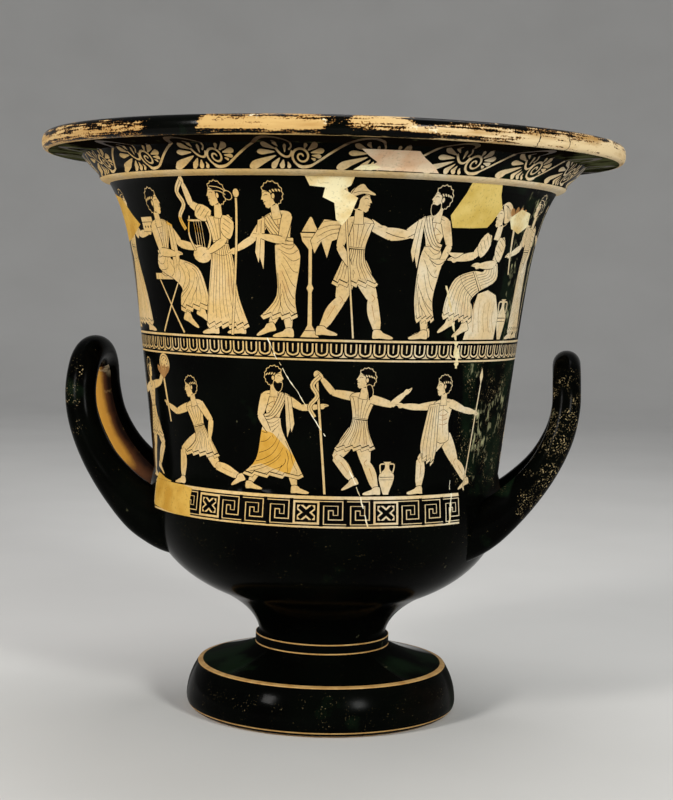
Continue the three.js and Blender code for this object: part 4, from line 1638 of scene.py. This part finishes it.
def addHandle(shape, side, reach, girth, paints):
    half = [np.array(row, float) for row in handles["route"]]
    stations = smooth(half + [row * (1, -1, 1, 1, 1) for row in half[::-1]], handles["pathSteps"])
    centres = [Vector((side * (reach - row[0]), row[1], row[2])) for row in stations]
    places = []
    for k, (centre, row) in enumerate(zip(centres, stations)):
        along = (centres[min(k + 1, len(centres) - 1)] - centres[max(k - 1, 0)]).normalized()
        out = Vector((side, 0, 0))
        out = (out - along * out.dot(along)).normalized()
        across = along.cross(out)
        place = Matrix((out * row[3] * girth, across * row[4] * girth, along)).transposed().to_4x4()
        place.translation = centre
        places.append(Matrix.Scale(metre, 4) @ place)
    outward = shape.verts.layers.float["outward"]
    ring = bmesh.ops.create_circle(shape, segments=handles["ringSides"], radius=1, cap_ends=False)["verts"]
    for vert in ring:
        vert[outward] = vert.co.x
    bmesh.ops.transform(shape, matrix=places[0], verts=ring)
    firstEdges = edges = list({edge for vert in ring for edge in vert.link_edges})
    allVerts, allFaces = list(ring), []
    for k in range(1, len(places)):
        grown = bmesh.ops.extrude_edge_only(shape, edges=edges)["geom"]
        verts = [item for item in grown if isinstance(item, bmesh.types.BMVert)]
        faces = [item for item in grown if isinstance(item, bmesh.types.BMFace)]
        edges = [edge for edge in grown if isinstance(edge, bmesh.types.BMEdge)
                 and all(vert in verts for vert in edge.verts)]
        back = places[k - 1].inverted()
        for vert in verts:
            vert[outward] = (back @ vert.co).x
        bmesh.ops.transform(shape, matrix=places[k] @ back, verts=verts)
        for face in faces:
            spot = back @ face.calc_center_median()
            angle = math.degrees(math.atan2(abs(spot.x), -side * spot.y))
            reserved = angle < handles["reservedHalf"] and stations[k][2] < handles["reservedTop"]
            face.material_index = paints["handleClay" if reserved else "gloss"]
            face.smooth = True
        allVerts += verts
        allFaces += faces
    for end in (firstEdges, edges):
        allFaces += bmesh.ops.holes_fill(shape, edges=end, sides=handles["ringSides"])["faces"]
    for vert in allVerts:
        spot = vert.co / metre
        r, wanted = math.hypot(spot.x, spot.y), bowlSide(spot.z) - handles["tuck"]
        if r < wanted:
            vert.co.x *= wanted / r
            vert.co.y *= wanted / r
    bmesh.ops.recalc_face_normals(shape, faces=allFaces)


bodyPaint = {
    "footLines": ((38.3, 39.8), (3.7, 4.9), (-1, 1.3), (55.2, 56.2), (62.7, 63.7)),  # lines left in clay
    "lipFrom": 226, "together": 0.00002, "creased": 32,
}


def footPaint(r, z):
    return "footLine" if any(low < z < high for low, high in bodyPaint["footLines"]) else "gloss"


def lipPaint(r, z):
    return "wornLip" if r > bodyPaint["lipFrom"] else "gloss"


def clayPaint(r, z):
    return "clay"


def spinRows(shape, points, paintOf, paints):
    known = set(shape.faces)
    spinLine(shape, [Vector((0, -r, z)) * metre for r, z in points], pot["steps"])
    for face in shape.faces:
        if face not in known:
            centre = face.calc_center_median() / metre
            face.material_index = paints[paintOf(math.hypot(centre.x, centre.y), centre.z)]
            face.smooth = True


def makeFinishes():
    return {
        "gloss": makeGloss(), "clay": makeClay(), "line": makeLine(),
        "wash": makeWash("thinWash", "washBrown", "clayDeep"),
        "faded": makeWash("fadedClay", "fadedDeep", "fadedPale"),
        "footLine": makeWash("footLine", "lineDeep", "linePale"),
        "dull": makeDull(), "goldTint": makeWash("goldTint", "goldDeep", "goldTint"),
        "gold": makePlaster("goldPlaster", "goldDeep", "goldPlaster"),
        "sand": makePlaster("sandPlaster", "sandDeep", "sandPlaster"),
        "pink": makePlaster("pinkPlaster", "pinkPlaster", "pinkPale"),
        "cream": makePlaster("creamFill", "creamDeep", "creamFill"),
        "chalk": makePlaster("chalkFill", "creamDeep", "chalk"),
        "handleClay": makeHandleClay(), "wornLip": makeWornLip(),
    }


def makePot():
    finishes = makeFinishes()
    paints = {key: k for k, key in enumerate(finishes)}
    shape = bmesh.new()
    painted = shape.faces.layers.int.new("painted")
    shape.verts.layers.float.new("outward")  # on the handles, 1 away from the wall and -1 towards it
    cuts = sorted(height for pair in bodyPaint["footLines"] for height in pair if height > 0)
    spinRows(shape, footHollow, clayPaint, paints)
    spinRows(shape, cutAt(footToBand(), cuts), footPaint, paints)
    spinRows(shape, mouldingToNeck(), clayPaint, paints)
    spinRows(shape, lipAndInside(), lipPaint, paints)
    bandRings = paintWall(shape, paints)
    loose = [vert for vert in shape.verts if not any(face[painted] for face in vert.link_faces)]
    bmesh.ops.remove_doubles(shape, verts=list(set(loose + bandRings)), dist=bodyPaint["together"])
    bmesh.ops.recalc_face_normals(shape, faces=shape.faces)
    print("open edges on the body:", sum(1 for edge in shape.edges if len(edge.link_faces) != 2))
    for side, reach, girth in handles["sides"]:
        addHandle(shape, side, reach, girth, paints)
    for edge in shape.edges:
        if len(edge.link_faces) == 2 and edge.calc_face_angle() > math.radians(bodyPaint["creased"]):
            edge.smooth = False
    bmesh.ops.triangulate(shape, faces=shape.faces)
    mesh = bpy.data.meshes.new("krater")
    shape.to_mesh(mesh)
    shape.free()
    for mat in finishes.values():
        mesh.materials.append(mat)
    krater = addObject("paintedKrater", mesh)
    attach(krater, "root")
    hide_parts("krater")
    print("krater has", len(mesh.polygons), "triangles")
    return krater


print("camera and studio")
placeCamera()
makeFloor()
lightStudio()
print("pot")
krater = makePot()
